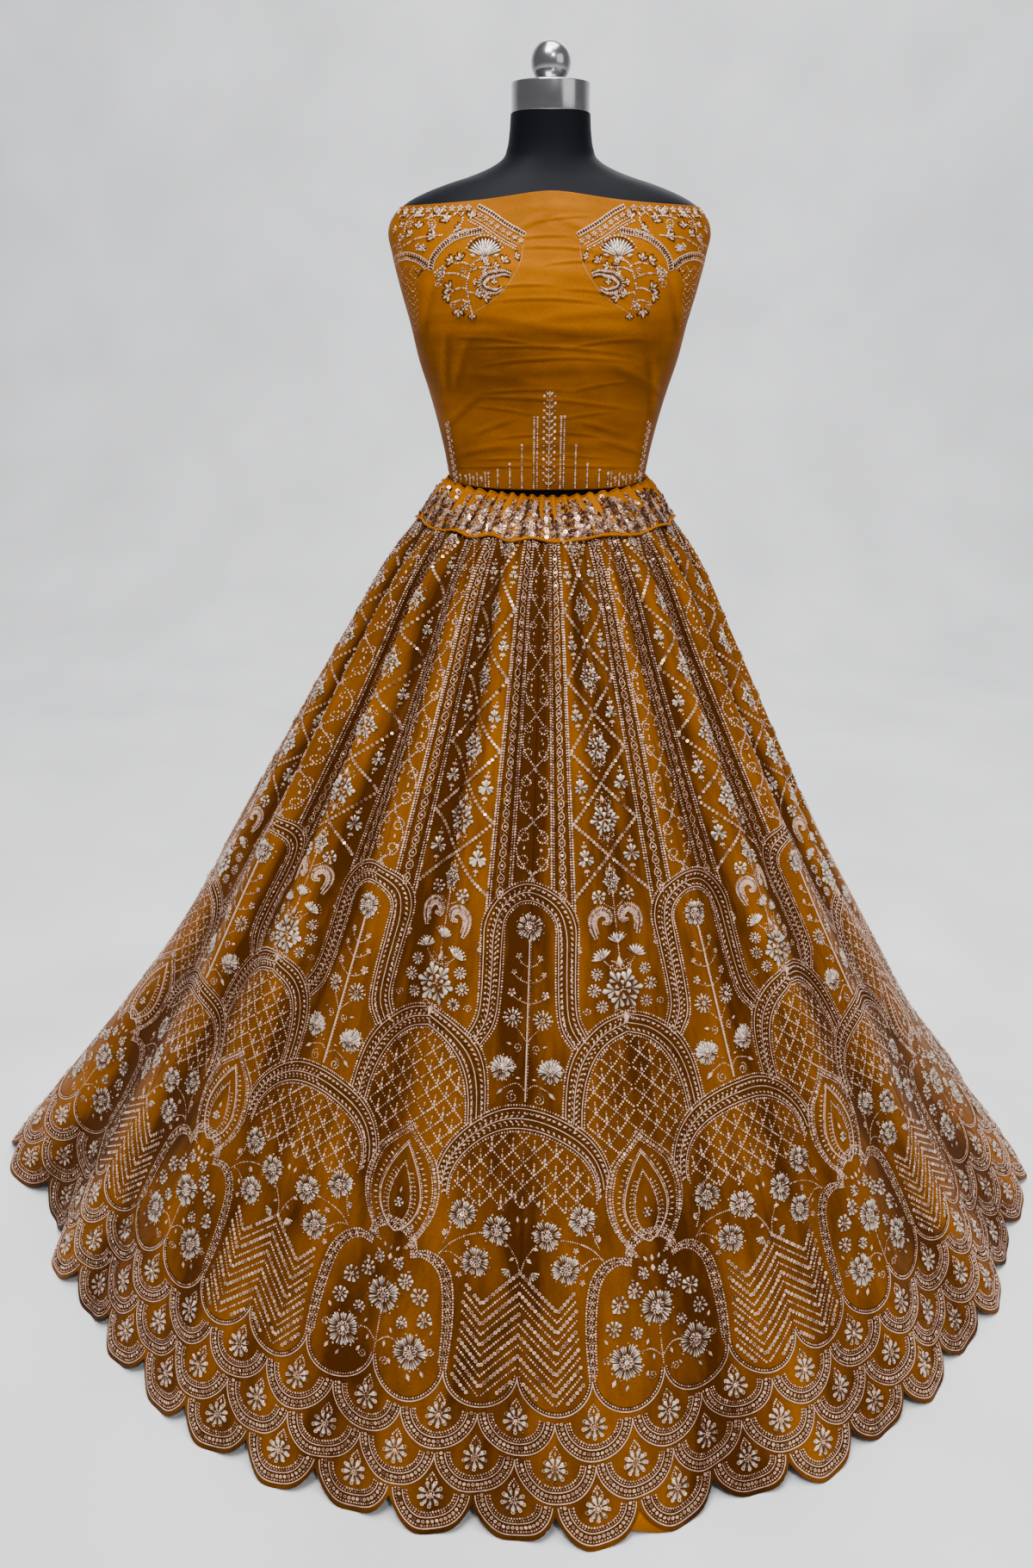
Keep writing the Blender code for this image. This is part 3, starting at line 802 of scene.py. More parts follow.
def jaal(chart, inside, top, width=24.0, height=25.0):
    """Beaded trellis of diamond cells, each with a small drop on a stalk."""
    slope = 2 * JAAL_HALF * height / width
    for hand in (1, -1):
        for k in range(-9, 22):
            start = top - 120 + k * height
            chart.beads([(-hand * JAAL_HALF, start), (hand * JAAL_HALF, start + slope)], 3.4, 1.35, inside)
    first = top - 100 + 1.7 * height + (slope / 2 - 20) % height
    for row in range(-2, 26):
        s = first + row * height / 2
        for k in range(-5, 6):
            x = (k + (row % 2) / 2) * width
            if inside(np.array([[x, s - 4], [x, s + 4]])).all():
                chart.keep("bead", [(x, s - 5.4), (x, s - 3.0), (x, s + 5.8)], 1.15)
                chart.petals([(x, s - 1.6)], 90, 6.0, 3.6, 0.7)


def chart_pointed_arch(chart):
    """The pointed arch of the upper tier, filled with trellis, above the flame."""
    chart.origin = 0.5
    for hand in (1, -1):
        vein_band(chart, curved(POINTED_OUTER) * (hand, 1), curved(POINTED_INNER) * (hand, 1))
    reach = curved(POINTED_INNER)
    flame = curved(FLAME_OUTER)

    def inside(points):
        x, s = np.abs(points[:, 0]), points[:, 1]
        limit = np.interp(s, reach[:, 1], reach[:, 0])
        limit = np.where(s > reach[-1, 1], 200.0, limit)
        beside = repeat_width(s) / 2 - ellipse_at(s, ROUND_CENTRE, ROUND_OUTER)
        burning = np.interp(s, flame[:, 1], flame[:, 0], left=-1.0)
        return (s > 585) & (x < limit - 2) & (x < beside - 3) & (x > burning + 3) & (s < 745)

    jaal(chart, inside, 590, 23.0, 24.0)


def chart_round_arch(chart):
    """The great round arch: trellis, six blooms on their branches, and rows of chevrons below."""
    chart.origin = 0.0
    for hand in (1, -1):
        outer = arc((0, ROUND_CENTRE), ROUND_OUTER, -90, -14) * (hand, 1)
        inner = arc((0, ROUND_CENTRE), ROUND_INNER, -90, 4) * (hand, 1)
        vein_band(chart, outer, inner)

    def inside(points):
        x, s = np.abs(points[:, 0]), points[:, 1]
        under = np.where(s < ROUND_CENTRE, ellipse_at(s, ROUND_CENTRE, ROUND_INNER), ROUND_INNER[0]) - 3
        floor = np.interp(x, [0, 14, 28, 52, 80], [772, 778, 776, 770, 764])
        return (x < under) & (s < floor)

    jaal(chart, inside, 692)
    for hand in (1, -1):
        for x, s, radius, petals, turn in ((66, 780, 15.5, 9, 10), (28, 797, 16.0, 9, 30), (50, 832, 16.0, 10, 0)):
            chart.flower(hand * x, s, radius, petals, turn)
        for points in (
            [(90, 824), (78, 812), (62, 804), (44, 800)],
            [(86, 812), (80, 800), (78, 790)],
            [(88, 822), (78, 822), (66, 830)],
        ):
            chart.twig(hand, points, 1.0)
        chart.petals([(hand * 8, 764)], -90, 9, 5)
        for x, s, turn in (
            (17, 768, -75), (4, 788, -80), (10, 796, 0), (12, 812, 10), (6, 824, 35), (84, 806, -60), (74, 828, 120),
        ):
            chart.leaf(hand, x, s, turn, 8, 4.6)
        chart.twig(hand, [(0, 842), (5, 826), (14, 812)])
        chart.fan(hand * 12, 838, 8, mirrored(50, hand), 90, 5)
        for x, s in ((68, 846), (84, 800), (60, 812)):
            chart.berry(hand * x, s, 3.0)
    low, _, depth = HEM_ROWS[3]

    def chevron_ground(points):
        x, s = np.abs(points[:, 0]), points[:, 1]
        beside = repeat_width(s) / 2 - 91
        lobe = repeat_width(s) / 8
        floor = low - 12 - depth * (1 - np.sqrt(np.clip(1 - ((x - lobe) / lobe) ** 2, 0, 1)))
        return (x < beside) & (s < floor) & (s > 838)

    for row in range(14):
        top = 840 + row * 10.9
        path = np.array([(0, top), (42, top + 37), (84, top - 12)], float)
        for hand in (1, -1):
            if row % 2:
                chart.beads(path * (hand, 1), 3.3, 1.4, chevron_ground)
            else:
                chart.sequins(path * (hand, 1), 4.9, 2.2, chevron_ground)


def chart_flame(chart):
    """The flame between two round arches, with its fringed heart."""
    chart.origin = 0.5
    outer, middle, heart = curved(FLAME_OUTER), curved(FLAME_MIDDLE), curved(FLAME_HEART)
    for hand in (1, -1):
        flip = (hand, 1)
        chart.beads(outer * flip, 2.9, 1.2)
        chart.sequins((outer + (-3.6, 2.0)) * flip, 4.4, 1.8)
        chart.beads((outer + (-7.0, 3.5)) * flip, 2.9, 1.0)
        chart.beads(middle * flip, 2.6, 1.1)
        chart.cord((middle + (-1.8, 1.0)) * flip, 1.4)
        for (x, s), (dx, ds) in zip(*resampled(middle[6:-8], 6.0)):
            chart.leaf(hand, x + 1.5, s, math.degrees(math.atan2(-dx, ds)), 6.0, 2.4)
        chart.beads(heart * flip, 2.5, 1.1)
        chart.veins((heart + (4, 0))[5:-6] * flip, 4.6, 3.6, 1.8, 60)
    chart.flower(0, 781, 5.6, 6)
    chart.petals([(0, 772)], -90, 9, 4)


def chart_shield(chart):
    """The shield with a trefoil top and a two-lobed foot, and the bouquet in it."""
    chart.origin = 0.5
    for hand in (1, -1):
        flip = (hand, 1)
        for piece in (SHIELD_DOME, SHIELD_SIDE):
            side = curved(piece)
            inward = unit(np.array([(0.0, SHIELD_HEIGHT)]) - side) * (1, 0.9)
            # dark thread and painted shadow under the border
            for depth_in in (2.8, 8.0):
                chart.ground((side + inward * depth_in) * flip, 5.8)
            chart.beads(side * flip, 3.1, 1.25)
            chart.rings((side + inward * 5.4) * flip)
            chart.beads((side + inward * 11.0) * flip, 3.1, 1.25)
        chart.flower(hand * 42, 934, 19.0, 11, 15)
        for x, s in ((56, 950), (42, 956)):
            chart.leaf(hand, x, s, 60, 9.0, 5.0)
        for x, s, radius in ((12, 846, 6.5), (24, 862, 9.0), (43, 874, 10.0), (52, 898, 9.0), (27, 906, 7.0)):
            chart.flower(hand * x, s, radius, 9)
        for x, s, turn in (
            (6, 834, -60), (11, 841, -30), (22, 852, -20), (60, 914, -60), (14, 914, 60), (10, 930, 80), (18, 946, 60),
        ):
            chart.leaf(hand, x, s, turn, 7.5, 4.0)
        chart.twig(hand, [(0, 936), (12, 926), (24, 926)], 1.0)
        chart.curl(hand * 14, 952, 5.0, 0, hand, 1.2)
        chart.curl(hand * 64, 930, 4.6, 180, hand, 1.2)
    chart.flower(0, 884, 19.5, 10)
    chart.beads([(0, 902), (0, 946)], 2.6, 1.0)
    chart.petals([(0, 836)], -90, 9, 5)
    chart.petals([(0, 846)], -90, 8, 6)


def chart_hem(chart):
    """Three staggered rows of scallops with a boota in each, and the edging of the shields and chevrons above."""
    for row, (low, shift, depth) in enumerate(HEM_ROWS):
        half = repeat_width(low) / (2 * SCALLOPS_PER_KALI)
        bare = BARE_EDGE if row == 0 else 0.0
        edging = row == len(HEM_ROWS) - 1

        def lobe(inset):
            inset = bare + inset
            return arc((0, low - depth), (half - inset, depth - inset), 4, 176, 30)

        for number in range(SCALLOPS_PER_KALI):
            chart.origin = (number + shift) / SCALLOPS_PER_KALI
            # dark thread and painted shadow under the scallop's rows
            for inset in (2.9, 8.5, 14.1)[: 1 if edging else None]:
                chart.ground(lobe(inset), 5.9)
            for inset, kind, size in HEM_LAYS[: 2 if edging else None]:
                if kind == "cord":
                    chart.cord(lobe(inset), size, None, 4.0)
                else:
                    chart.beads(lobe(inset), 3.1 if kind == "bead" else 4.9, size, None, kind)
            if not edging:
                boota(chart, 0, low - 36 - bare)


def boota(chart, x, s):
    """The pear-shaped motif of a scallop: spokes tipped with sequins under a pointed loop of beads."""
    at = np.arange(9) * 40.0 + 90.0
    chart.ribs(arc_points((x, s), 3.2, at), at, 8.2, 5.4, 1.0)
    chart.keep("sequin", arc_points((x, s), 12.0, at), 2.3)
    chart.keep("bead", arc_points((x, s), 3.9, at), 1.2)
    chart.keep("sequin", [(x, s)], 2.4)
    for hand in (1, -1):
        chart.beads(curved([(x + hand * 5.5, s - 12.5), (x + hand * 4.5, s - 16), (x, s - 22)]), 2.6, 1.2)
    chart.petals([(x, s - 12)], -90, 6.0, 2.6, 0.8)


def lehenga_chart():
    chart = Chart()
    for part in (
        chart_columns, chart_tall_arch, chart_bouquet, chart_pointed_arch,
        chart_round_arch, chart_flame, chart_shield, chart_hem,
    ):
        part(chart)
    return {kind: wrapped(rows) for kind, rows in chart.laid().items()}


def wrapped(rows):
    """The same stitches with each one's origin moved by whole repeats, so that it lands on its own kali."""
    origin, x, s = rows[:, :3].T
    if rows.shape[1] == 6:
        x, s = (x + rows[:, 3]) / 2, (s + rows[:, 4]) / 2
    rows[:, 0] = origin - np.floor(origin + x / repeat_width(s))
    return rows


# Laying a chart on cloth

MM = 0.001
STITCH_LIFT = 0.00035         # from the cloth's outer face to the foot of a stitch
BEAD_SIDES, BEAD_RISE = 5, 0.85
SEQUIN_SIDES = 6
# tone added at each point of a leaf: painted shade at its foot and sides, its tip as it is, a painted highlight on its
# raised ridge
LEAF_PAINTED_SHADES = np.array([-0.50, -0.44, 0.0, -0.44, 0.46])


def caps(centre, u, v, size, turn, top):
    """Small many-sided caps: points round a rim and one on top. Returns points and triangles."""
    rim = centre[:, None] + size[:, None, None] * (
        np.cos(turn)[..., None] * u[:, None] + np.sin(turn)[..., None] * v[:, None]
    )
    sides = rim.shape[1]
    points = np.concatenate([rim, top[:, None]], 1)
    base = np.arange(len(centre))[:, None] * (sides + 1)
    ring = np.arange(sides)
    faces = np.stack([base + ring, base + (ring + 1) % sides, base + np.full(sides, sides)], -1)
    return points.reshape(-1, 3), faces.reshape(-1, 3)[:, ::-1]


def round_beads(centre, along, fall, out, size, spin):
    turn = spin[:, None] + np.arange(BEAD_SIDES) * math.tau / BEAD_SIDES
    return caps(centre, along, fall, size, turn, centre + out * (BEAD_RISE * size)[:, None])


def discs(centre, along, fall, out, size, tilt, spin):
    """Flat sequins, each tipped a little its own way."""
    turn = np.arange(SEQUIN_SIDES) * math.tau / SEQUIN_SIDES
    u = unit(along + out * (tilt * np.cos(spin))[:, None])
    v = unit(fall + out * (tilt * np.sin(spin))[:, None])
    raised = centre + out * (size * 0.75 * tilt)[:, None]
    return caps(raised, u, v, size, turn, raised - out * 0.0001)


def leaves(foot, along, fall, out, turn, length, width, lift, widest):
    """Leaves with a raised ridge, widest at a share of their length."""
    way = np.cos(turn)[:, None] * along + np.sin(turn)[:, None] * fall
    side = np.cross(out, way)
    length, width = length[:, None], width[:, None]
    ridge = out * (lift * MM)[:, None]
    points = np.stack([
        foot,
        foot + way * length * widest + side * width * 0.5,
        foot + way * length + ridge * 0.4,
        foot + way * length * widest - side * width * 0.5,
        foot + way * length * (widest * 0.9 + 0.05) + ridge + out * width * 0.35,
    ], 1)
    base = np.arange(len(foot))[:, None, None] * 5
    corners = np.array([(0, 1, 4), (1, 2, 4), (2, 3, 4), (3, 0, 4)])
    return points.reshape(-1, 3), (base + corners).reshape(-1, 3)


def strips(start, end, width, rise):
    """Short lengths of couched cord, each a low ridge between two points with their frames."""
    points = []
    for point, side, out in (start, end):
        half = side * (width / 2)[:, None]
        points += [point - half, point + out * (width * rise)[:, None], point + half]
    points = np.stack(points, 1)
    base = np.arange(len(width))[:, None, None] * 6
    corners = np.array([(0, 1, 4), (0, 4, 3), (1, 2, 5), (1, 5, 4)])
    return points.reshape(-1, 3), (base + corners).reshape(-1, 3)


def lay_chart(name, rows, place, seed, materials, middle):
    """One mesh of all the stitches. place turns (origin, x, s) in millimetres into frames on the cloth.

    middle is the usual tone of a stitch, from 0 for dark to 1 for bright, or gives it from origin, x and s; it may
    paint the folds' light and shade onto the stitches. The shades added at each point paint shade round a bead's,
    leaf's or cord's edge and a highlight on its top.
    """
    rng = np.random.default_rng(seed)
    batches = []

    def add(made, origin, x, s, kind, spread, shades):
        points, faces = made
        usual = middle(origin, x, s) if callable(middle) else middle
        tone = rng.normal(usual, spread, len(x))[:, None] + np.array(shades)
        batches.append((points, faces, np.clip(tone.ravel(), 0, 1), kind))

    origin, x, s, size = rows["bead"].T
    point, along, fall, out = place(origin, x, s)
    spin = rng.uniform(0, math.tau, len(x))
    made = round_beads(point + out * STITCH_LIFT, along, fall, out, size * MM, spin)
    # each bead gets painted shade round its rim and a painted highlight on its top
    add(made, origin, x, s, 0, 0.24, [-0.36] * BEAD_SIDES + [0.44])
    if len(rows["sequin"]):
        origin, x, s, size = rows["sequin"].T
        point, along, fall, out = place(origin, x, s)
        spin = rng.uniform(0, math.tau, len(x))
        tilt = rng.uniform(0.05, 0.42, len(x))
        made = discs(point + out * 2.2 * STITCH_LIFT, along, fall, out, size * MM, tilt, spin)
        add(made, origin, x, s, 1, 0.26, [0.44, 0.16] * 3 + [-0.50])
    for kind, widest, material, spread, lighter in (("petal", 0.5, 2, 0.20, 0.0), ("rib", 0.82, 3, 0.28, 0.10)):
        if not len(rows[kind]):
            continue
        origin, x, s, turn, length, width, lift = rows[kind].T
        point, along, fall, out = place(origin, x, s)
        foot = point + out * STITCH_LIFT
        made = leaves(foot, along, fall, out, np.radians(turn), length * MM, width * MM, lift, widest)
        add(made, origin, x, s, material, spread, lighter + LEAF_PAINTED_SHADES)
    # ground strips are painted a little darker all over; each cord gets painted shade along its edges and a painted
    # highlight along its ridge
    for kind, material, foot_lift, rise, spread, shades in (
        ("ground", 4, 0.5, 0.02, 0.10, [-0.10] * 6),
        ("cord", 2, 1.0, 0.55, 0.06, [-0.34, 0.30, -0.34] * 2),
    ):
        if not len(rows[kind]):
            continue
        origin, x, s, x_end, s_end, width = rows[kind].T
        ends = []
        heading = unit(np.stack([x_end - x, s_end - s], 1))
        for at_x, at_s in ((x, s), (x_end, s_end)):
            point, along, fall, out = place(origin, at_x, at_s)
            side = -heading[:, 1:] * along + heading[:, :1] * fall
            ends.append((point + out * STITCH_LIFT * foot_lift, side, out))
        add(strips(*ends, width * MM, rise), origin, x, s, material, spread, shades)
    points, faces, tones, kinds = zip(*batches)
    starts = np.cumsum([0, *map(len, points)])
    faces = [part + start for part, start in zip(faces, starts)]
    kinds = np.concatenate([np.full(len(part), kind) for part, kind in zip(faces, kinds)])
    made = new_mesh(name, np.concatenate(points), np.concatenate(faces), materials, None, False, kinds)
    mark_points(made, "tone", np.concatenate(tones))
    return made


# Materials

SILK_TINT = (1.0, 0.50, 0.02, 1.0)


def socket(group, name, kind, way, default=None):
    made = group.interface.new_socket(name=name, in_out=way, socket_type=kind)
    if default is not None:
        made.default_value = default
    return made


def node(tree, kind, place, inputs=(), **settings):
    """A shader node with its settings. Each input is a constant, or the output that feeds it."""
    made = tree.nodes.new(kind)
    made.location = place
    for key, value in settings.items():
        setattr(made, key, value)
    feed(tree, made, inputs)
    return made


def feed(tree, made, inputs):
    for key, value in dict(inputs).items():
        if isinstance(value, bpy.types.NodeSocket):
            tree.links.new(value, made.inputs[key])
        else:
            made.inputs[key].default_value = value


def blank_material(name):
    made = bpy.data.materials.new(name)
    made.use_nodes = True
    return made, made.node_tree, made.node_tree.nodes["Principled BSDF"]


def ramp(tree, place, value, *stops):
    made = node(tree, "ShaderNodeValToRGB", place, {"Fac": value})
    for element, (position, colour) in zip(made.color_ramp.elements, stops):
        element.position = position
        element.color = (*colour, 1.0)
    return made.outputs["Color"]


def bump(tree, place, height, strength, distance):
    inputs = {"Height": height, "Strength": strength, "Distance": distance}
    return node(tree, "ShaderNodeBump", place, inputs).outputs["Normal"]


def spread_out(tree, place, value, low, high):
    """Spreads a value from 0 to 1 over a range."""
    inputs = {"Value": value, "To Min": low, "To Max": high}
    return node(tree, "ShaderNodeMapRange", place, inputs).outputs["Result"]


def drape_group():
    """Cloth colour: slow light and dark drifts along the drape, which paint the satin's sheen, painted light and shade
    from each point's fold value, cloth grain and a fine weave height.
    """
    name = "Draped Cloth"
    if name in bpy.data.node_groups:
        return bpy.data.node_groups[name]
    group = bpy.data.node_groups.new(name, "ShaderNodeTree")
    for label, kind, default in (
        ("Light", "NodeSocketColor", (0.5, 0.2, 0.01, 1)),
        ("Dark", "NodeSocketColor", (0.2, 0.06, 0.005, 1)),
        ("Drift Scale", "NodeSocketFloat", 6.0),
        ("Stretch", "NodeSocketFloat", 0.25),
        ("Weave Scale", "NodeSocketFloat", 1400.0),
        ("Low", "NodeSocketFloat", 0.35),
        ("High", "NodeSocketFloat", 0.65),
        ("Fold Weight", "NodeSocketFloat", 0.0),
    ):
        socket(group, label, kind, "INPUT", default)
    for label, kind in (("Color", "NodeSocketColor"), ("Roughness", "NodeSocketFloat"), ("Height", "NodeSocketFloat")):
        socket(group, label, kind, "OUTPUT")
    given = node(group, "NodeGroupInput", (-900, 0)).outputs
    uv = node(group, "ShaderNodeUVMap", (-900, -300), uv_map="cloth").outputs["UV"]
    split = node(group, "ShaderNodeSeparateXYZ", (-720, -300), {0: uv}).outputs
    squeezed = node(group, "ShaderNodeMath", (-540, -380), {0: split["Y"], 1: given["Stretch"]}, operation="MULTIPLY")
    joined = node(group, "ShaderNodeCombineXYZ", (-360, -300), {"X": split["X"], "Y": squeezed.outputs[0]})
    # the drift paints the satin's sheen as slow light and dark streaks
    drift = node(group, "ShaderNodeTexNoise", (-180, -200), {
        "Detail": 3.0, "Roughness": 0.6, "Vector": joined.outputs[0], "Scale": given["Drift Scale"],
    })
    # the fold value paints shade into fold valleys and light onto crests and the lit chest
    fold = node(group, "ShaderNodeAttribute", (-540, -620), attribute_name="fold").outputs["Fac"]
    centred = node(group, "ShaderNodeMath", (-360, -620), {0: fold, 1: 0.5}, operation="SUBTRACT")
    folded = node(group, "ShaderNodeMath", (-180, -620), {
        0: centred.outputs[0], 1: given["Fold Weight"], 2: drift.outputs["Fac"],
    }, operation="MULTIPLY_ADD")
    spread = node(group, "ShaderNodeMapRange", (0, -200), {
        "Value": folded.outputs[0], "From Min": given["Low"], "From Max": given["High"],
    }).outputs["Result"]
    mixed = node(group, "ShaderNodeMix", (200, 0), data_type="RGBA")
    feed(group, mixed, {"Factor": spread, "A": given["Dark"], "B": given["Light"]})
    grain = node(group, "ShaderNodeTexNoise", (-180, -460), {"Scale": 340.0, "Vector": uv})
    tinted = node(group, "ShaderNodeMix", (400, 0), data_type="RGBA", blend_type="MULTIPLY")
    feed(group, tinted, {"Factor": 0.35, "A": mixed.outputs["Result"], "B": grain.outputs["Fac"]})
    weave = node(group, "ShaderNodeTexVoronoi", (0, -520), {"Vector": uv, "Scale": given["Weave Scale"]})
    node(group, "NodeGroupOutput", (700, 0), {
        "Color": tinted.outputs["Result"],
        "Roughness": spread_out(group, (200, -260), spread, 0.58, 0.42),
        "Height": weave.outputs["Distance"],
    })
    return group


def cloth_material(name, light, dark, drift, stretch, low, high, folds, relief, weave):
    made, tree, shader = blank_material(name)
    group = node(tree, "ShaderNodeGroup", (-500, 0), node_tree=drape_group())
    feed(tree, group, {
        "Light": (*light, 1), "Dark": (*dark, 1), "Drift Scale": drift, "Stretch": stretch,
        "Low": low, "High": high, "Weave Scale": weave, "Fold Weight": folds,
    })
    feed(tree, shader, {
        "Base Color": group.outputs["Color"], "Roughness": group.outputs["Roughness"],
        "Normal": bump(tree, (-220, -260), group.outputs["Height"], relief, 0.0003),
        "Sheen Weight": 0.02, "Sheen Roughness": 0.4, "Sheen Tint": SILK_TINT,
        "Specular IOR Level": 0.05, "Specular Tint": SILK_TINT,
    })
    return made


def stitch_material(name, dark, light, metallic, roughness, gloss=0.3):
    """Thread, bead or sequin: its tone changes from stitch to stitch, and from point to point where shade and
    highlights are painted on.
    """
    made, tree, shader = blank_material(name)
    tone = node(tree, "ShaderNodeAttribute", (-600, 0), attribute_name="tone").outputs["Fac"]
    feed(tree, shader, {
        "Base Color": ramp(tree, (-400, 0), tone, (0.15, dark), (0.85, light)),
        "Roughness": spread_out(tree, (-300, -240), tone, roughness + 0.12, roughness - 0.06),
        "Metallic": metallic, "Specular IOR Level": gloss,
    })
    return made


def smooth_material(name, colour, roughness, metallic, grain_scale, grain_bump, speck=0.06):
    """Jersey, chrome or paint: fine grain in its height, and a little unevenness in its roughness."""
    made, tree, shader = blank_material(name)
    where = node(tree, "ShaderNodeTexCoord", (-900, 0)).outputs["Object"]
    grain = node(tree, "ShaderNodeTexNoise", (-700, -200), {"Scale": grain_scale, "Vector": where}).outputs["Fac"]
    feed(tree, shader, {
        "Base Color": ramp(tree, (-460, 60), grain, (0.3, shaded(colour, 0.86)), (0.7, colour)),
        "Roughness": spread_out(tree, (-460, -180), grain, roughness - speck, roughness + speck),
        "Normal": bump(tree, (-220, -320), grain, grain_bump, 0.0002),
        "Metallic": metallic, "Specular IOR Level": 0.06,
    })
    return made


def shaded(colour, share):
    return tuple(c * share for c in colour)


def finish(name):
    """A material by name, made the first time that it is asked for."""
    if name in bpy.data.materials:
        return bpy.data.materials[name]
    look = bpy.context.scene.lehenga_looks
    satin, net = tuple(look.satin), tuple(look.net)
    light, dark = tuple(look.zari_light), tuple(look.zari_dark)
    maker, *settings = {
        # cloth: light, dark, drift scale, stretch, low, high, fold weight, bump, weave scale; light and dark are the
        # ends of the painted sheen and shade, and fold weight sets the painted light from the fold value
        "mustard net over satin": (cloth_material, shaded(satin, 0.57), net, 34.0, 0.20, 0.32, 0.98, 0.44, 0.5, 900.0),
        "mustard satin silk": (
            cloth_material, shaded(satin, 0.80), shaded(satin, 0.58), 7.0, 2.2, 0.30, 0.70, 0.0, 0.12, 2600.0,
        ),
        "wrapped satin silk": (
            cloth_material, shaded(satin, 0.80), shaded(satin, 0.30), 8.0, 2.4, 0.18, 0.92, 0.62, 0.12, 2600.0,
        ),
        # stitches: dark, light, metallic, roughness
        "rose gold beads": (stitch_material, dark, light, 0.22, 0.30),
        "champagne sequins": (stitch_material, dark, light, 0.50, 0.20),
        "zari thread": (stitch_material, dark, shaded(light, 0.90), 0.15, 0.42),
        # dark thread, with painted shadow under and between the stitches over it
        "dark ground": (stitch_material, (0.036, 0.0095, 0.0006), (0.085, 0.026, 0.0012), 0.0, 0.75, 0.03),
        "silver zari": (stitch_material, dark, tuple(look.silver), 0.30, 0.34),
        # smooth: colour, roughness, metallic, grain scale, grain bump
        "black jersey": (smooth_material, (0.0042, 0.0046, 0.0070), 0.52, 0.0, 900.0, 0.35),
        "neck chrome": (smooth_material, (0.46, 0.45, 0.46), 0.20, 1.0, 40.0, 0.02),
        "black steel": (smooth_material, (0.020, 0.020, 0.022), 0.40, 0.6, 300.0, 0.1),
        "studio paper": (smooth_material, tuple(look.floor), 0.62, 0.0, 3.0, 0.0, 0.03),
    }[name]
    return maker(name, *settings)


def stitch_finishes():
    names = ("rose gold beads", "champagne sequins", "zari thread", "silver zari", "dark ground")
    return [finish(name) for name in names]


# Pieces of the garment


def kali_start(number):
    return FRONT_SEAM_ANGLE + number * KALI_ANGLE


def scallop_rise(share):
    """How far the cut edge lies above the floor at a share of the kali's width, as a share of its length."""
    from_tip = np.abs((share * SCALLOPS_PER_KALI + 0.5) % 1 - 0.5) * 2
    lobe = HEM_ROWS[0][2] * MM * (1 - np.sqrt(1 - np.clip(from_tip, 0, 1) ** 2))
    return np.minimum(lobe, SCALLOP_DEPTH) / SLANT


def kali_grid(number):
    """Angles and places down of one kali, closer together near the waist, with its foot on the scallops."""
    even = np.linspace(0, 1, KALI_STEPS + 1)
    share, down = np.meshgrid(even, 0.72 * even + 0.28 * even**2)
    edge = np.clip((down - 0.90) / 0.10, 0, 1)
    down = down * (1 - scallop_rise(share) * edge)
    return share, kali_start(number) + KALI_ANGLE * share, down


def waist_shade(down):
    return WAIST_SHADE * np.exp(-down / WAIST_SHADE_REACH)


def make_kali(number):
    share, angle, down = kali_grid(number)
    point, _, _, out = skirt_frames(angle, down)
    uv = np.stack([(share + (number if number < KALIS / 2 else number - KALIS)) * UV_PER_KALI, down * SLANT], -1)
    name, net = f"kali_{number + 1:02d}", finish("mustard net over satin")
    made = cloth_wall(f"net_{name}", point, out, NET_THICKNESS, False, net, uv, True)
    # the fold value paints shade into the net in its fold valleys and the waist's gathers, and light onto the crests
    mark_points(made, "fold", np.tile((fold_crest(angle, down) - waist_shade(down)).ravel(), 2))
    return settle(made, "mustard_net", name)


def make_embroidery(number, rows):
    def on_kali(origin, x, s):
        return kali_start(number) + KALI_ANGLE * (origin + x / repeat_width(s)), s / LENGTH_MM

    def place(origin, x, s):
        return skirt_frames(*on_kali(origin, x, s))

    # stitches painted darker in the shade of fold valleys and the waist's gathers, lighter on the crests
    def fold_light_and_shade(origin, x, s):
        angle, down = on_kali(origin, x, s)
        return VALLEY_SHADE_TONE + CREST_LIGHT_GAIN * fold_crest(angle, down) - waist_shade(down)

    made = lay_chart(f"zardozi_kali_{number + 1:02d}", rows, place, 100 + number, stitch_finishes(), fold_light_and_shade)
    return settle(made, "mustard_net")


def make_lining(number):
    share, fall = np.meshgrid(*(np.linspace(0, 1, steps + 1) for steps in LINING_STEPS))
    angle = kali_start(number) + KALI_ANGLE * share
    away = angle_from(angle, LINING_PEEP_ANGLE)
    foot = 1 - LINING_SHORT * (1 - np.exp(-((away / LINING_PEEP_SPREAD) ** 2)))
    head = 1 - LINING_HEIGHT / SEAM_HEIGHT
    down = head + (foot - head) * fall
    point, _, _, out = skirt_frames(angle, down)
    point = point - unit(out * (1, 1, 0)) * LINING_SET_BACK
    uv = np.stack([share * 0.35 + number, down * SLANT], -1)
    name, satin = f"lining_{number + 1:02d}", finish("mustard satin silk")
    made = cloth_wall(f"satin_{name}", point, out, SATIN_THICKNESS, False, satin, uv, True)
    return settle(made, "mustard_satin", name)


def band_phase(turn):
    """Where the waistband's uneven gathers stand, in radians, at a direction in radians."""
    return BAND_GATHERS * turn + 2.2 * np.sin(3 * turn)


def bust_sections():
    """The bust under the choli, which the waistband lies on too."""
    return [(z, *(size - TORSO_INSET for size in sizes)) for z, *sizes in CHOLI_SECTIONS]


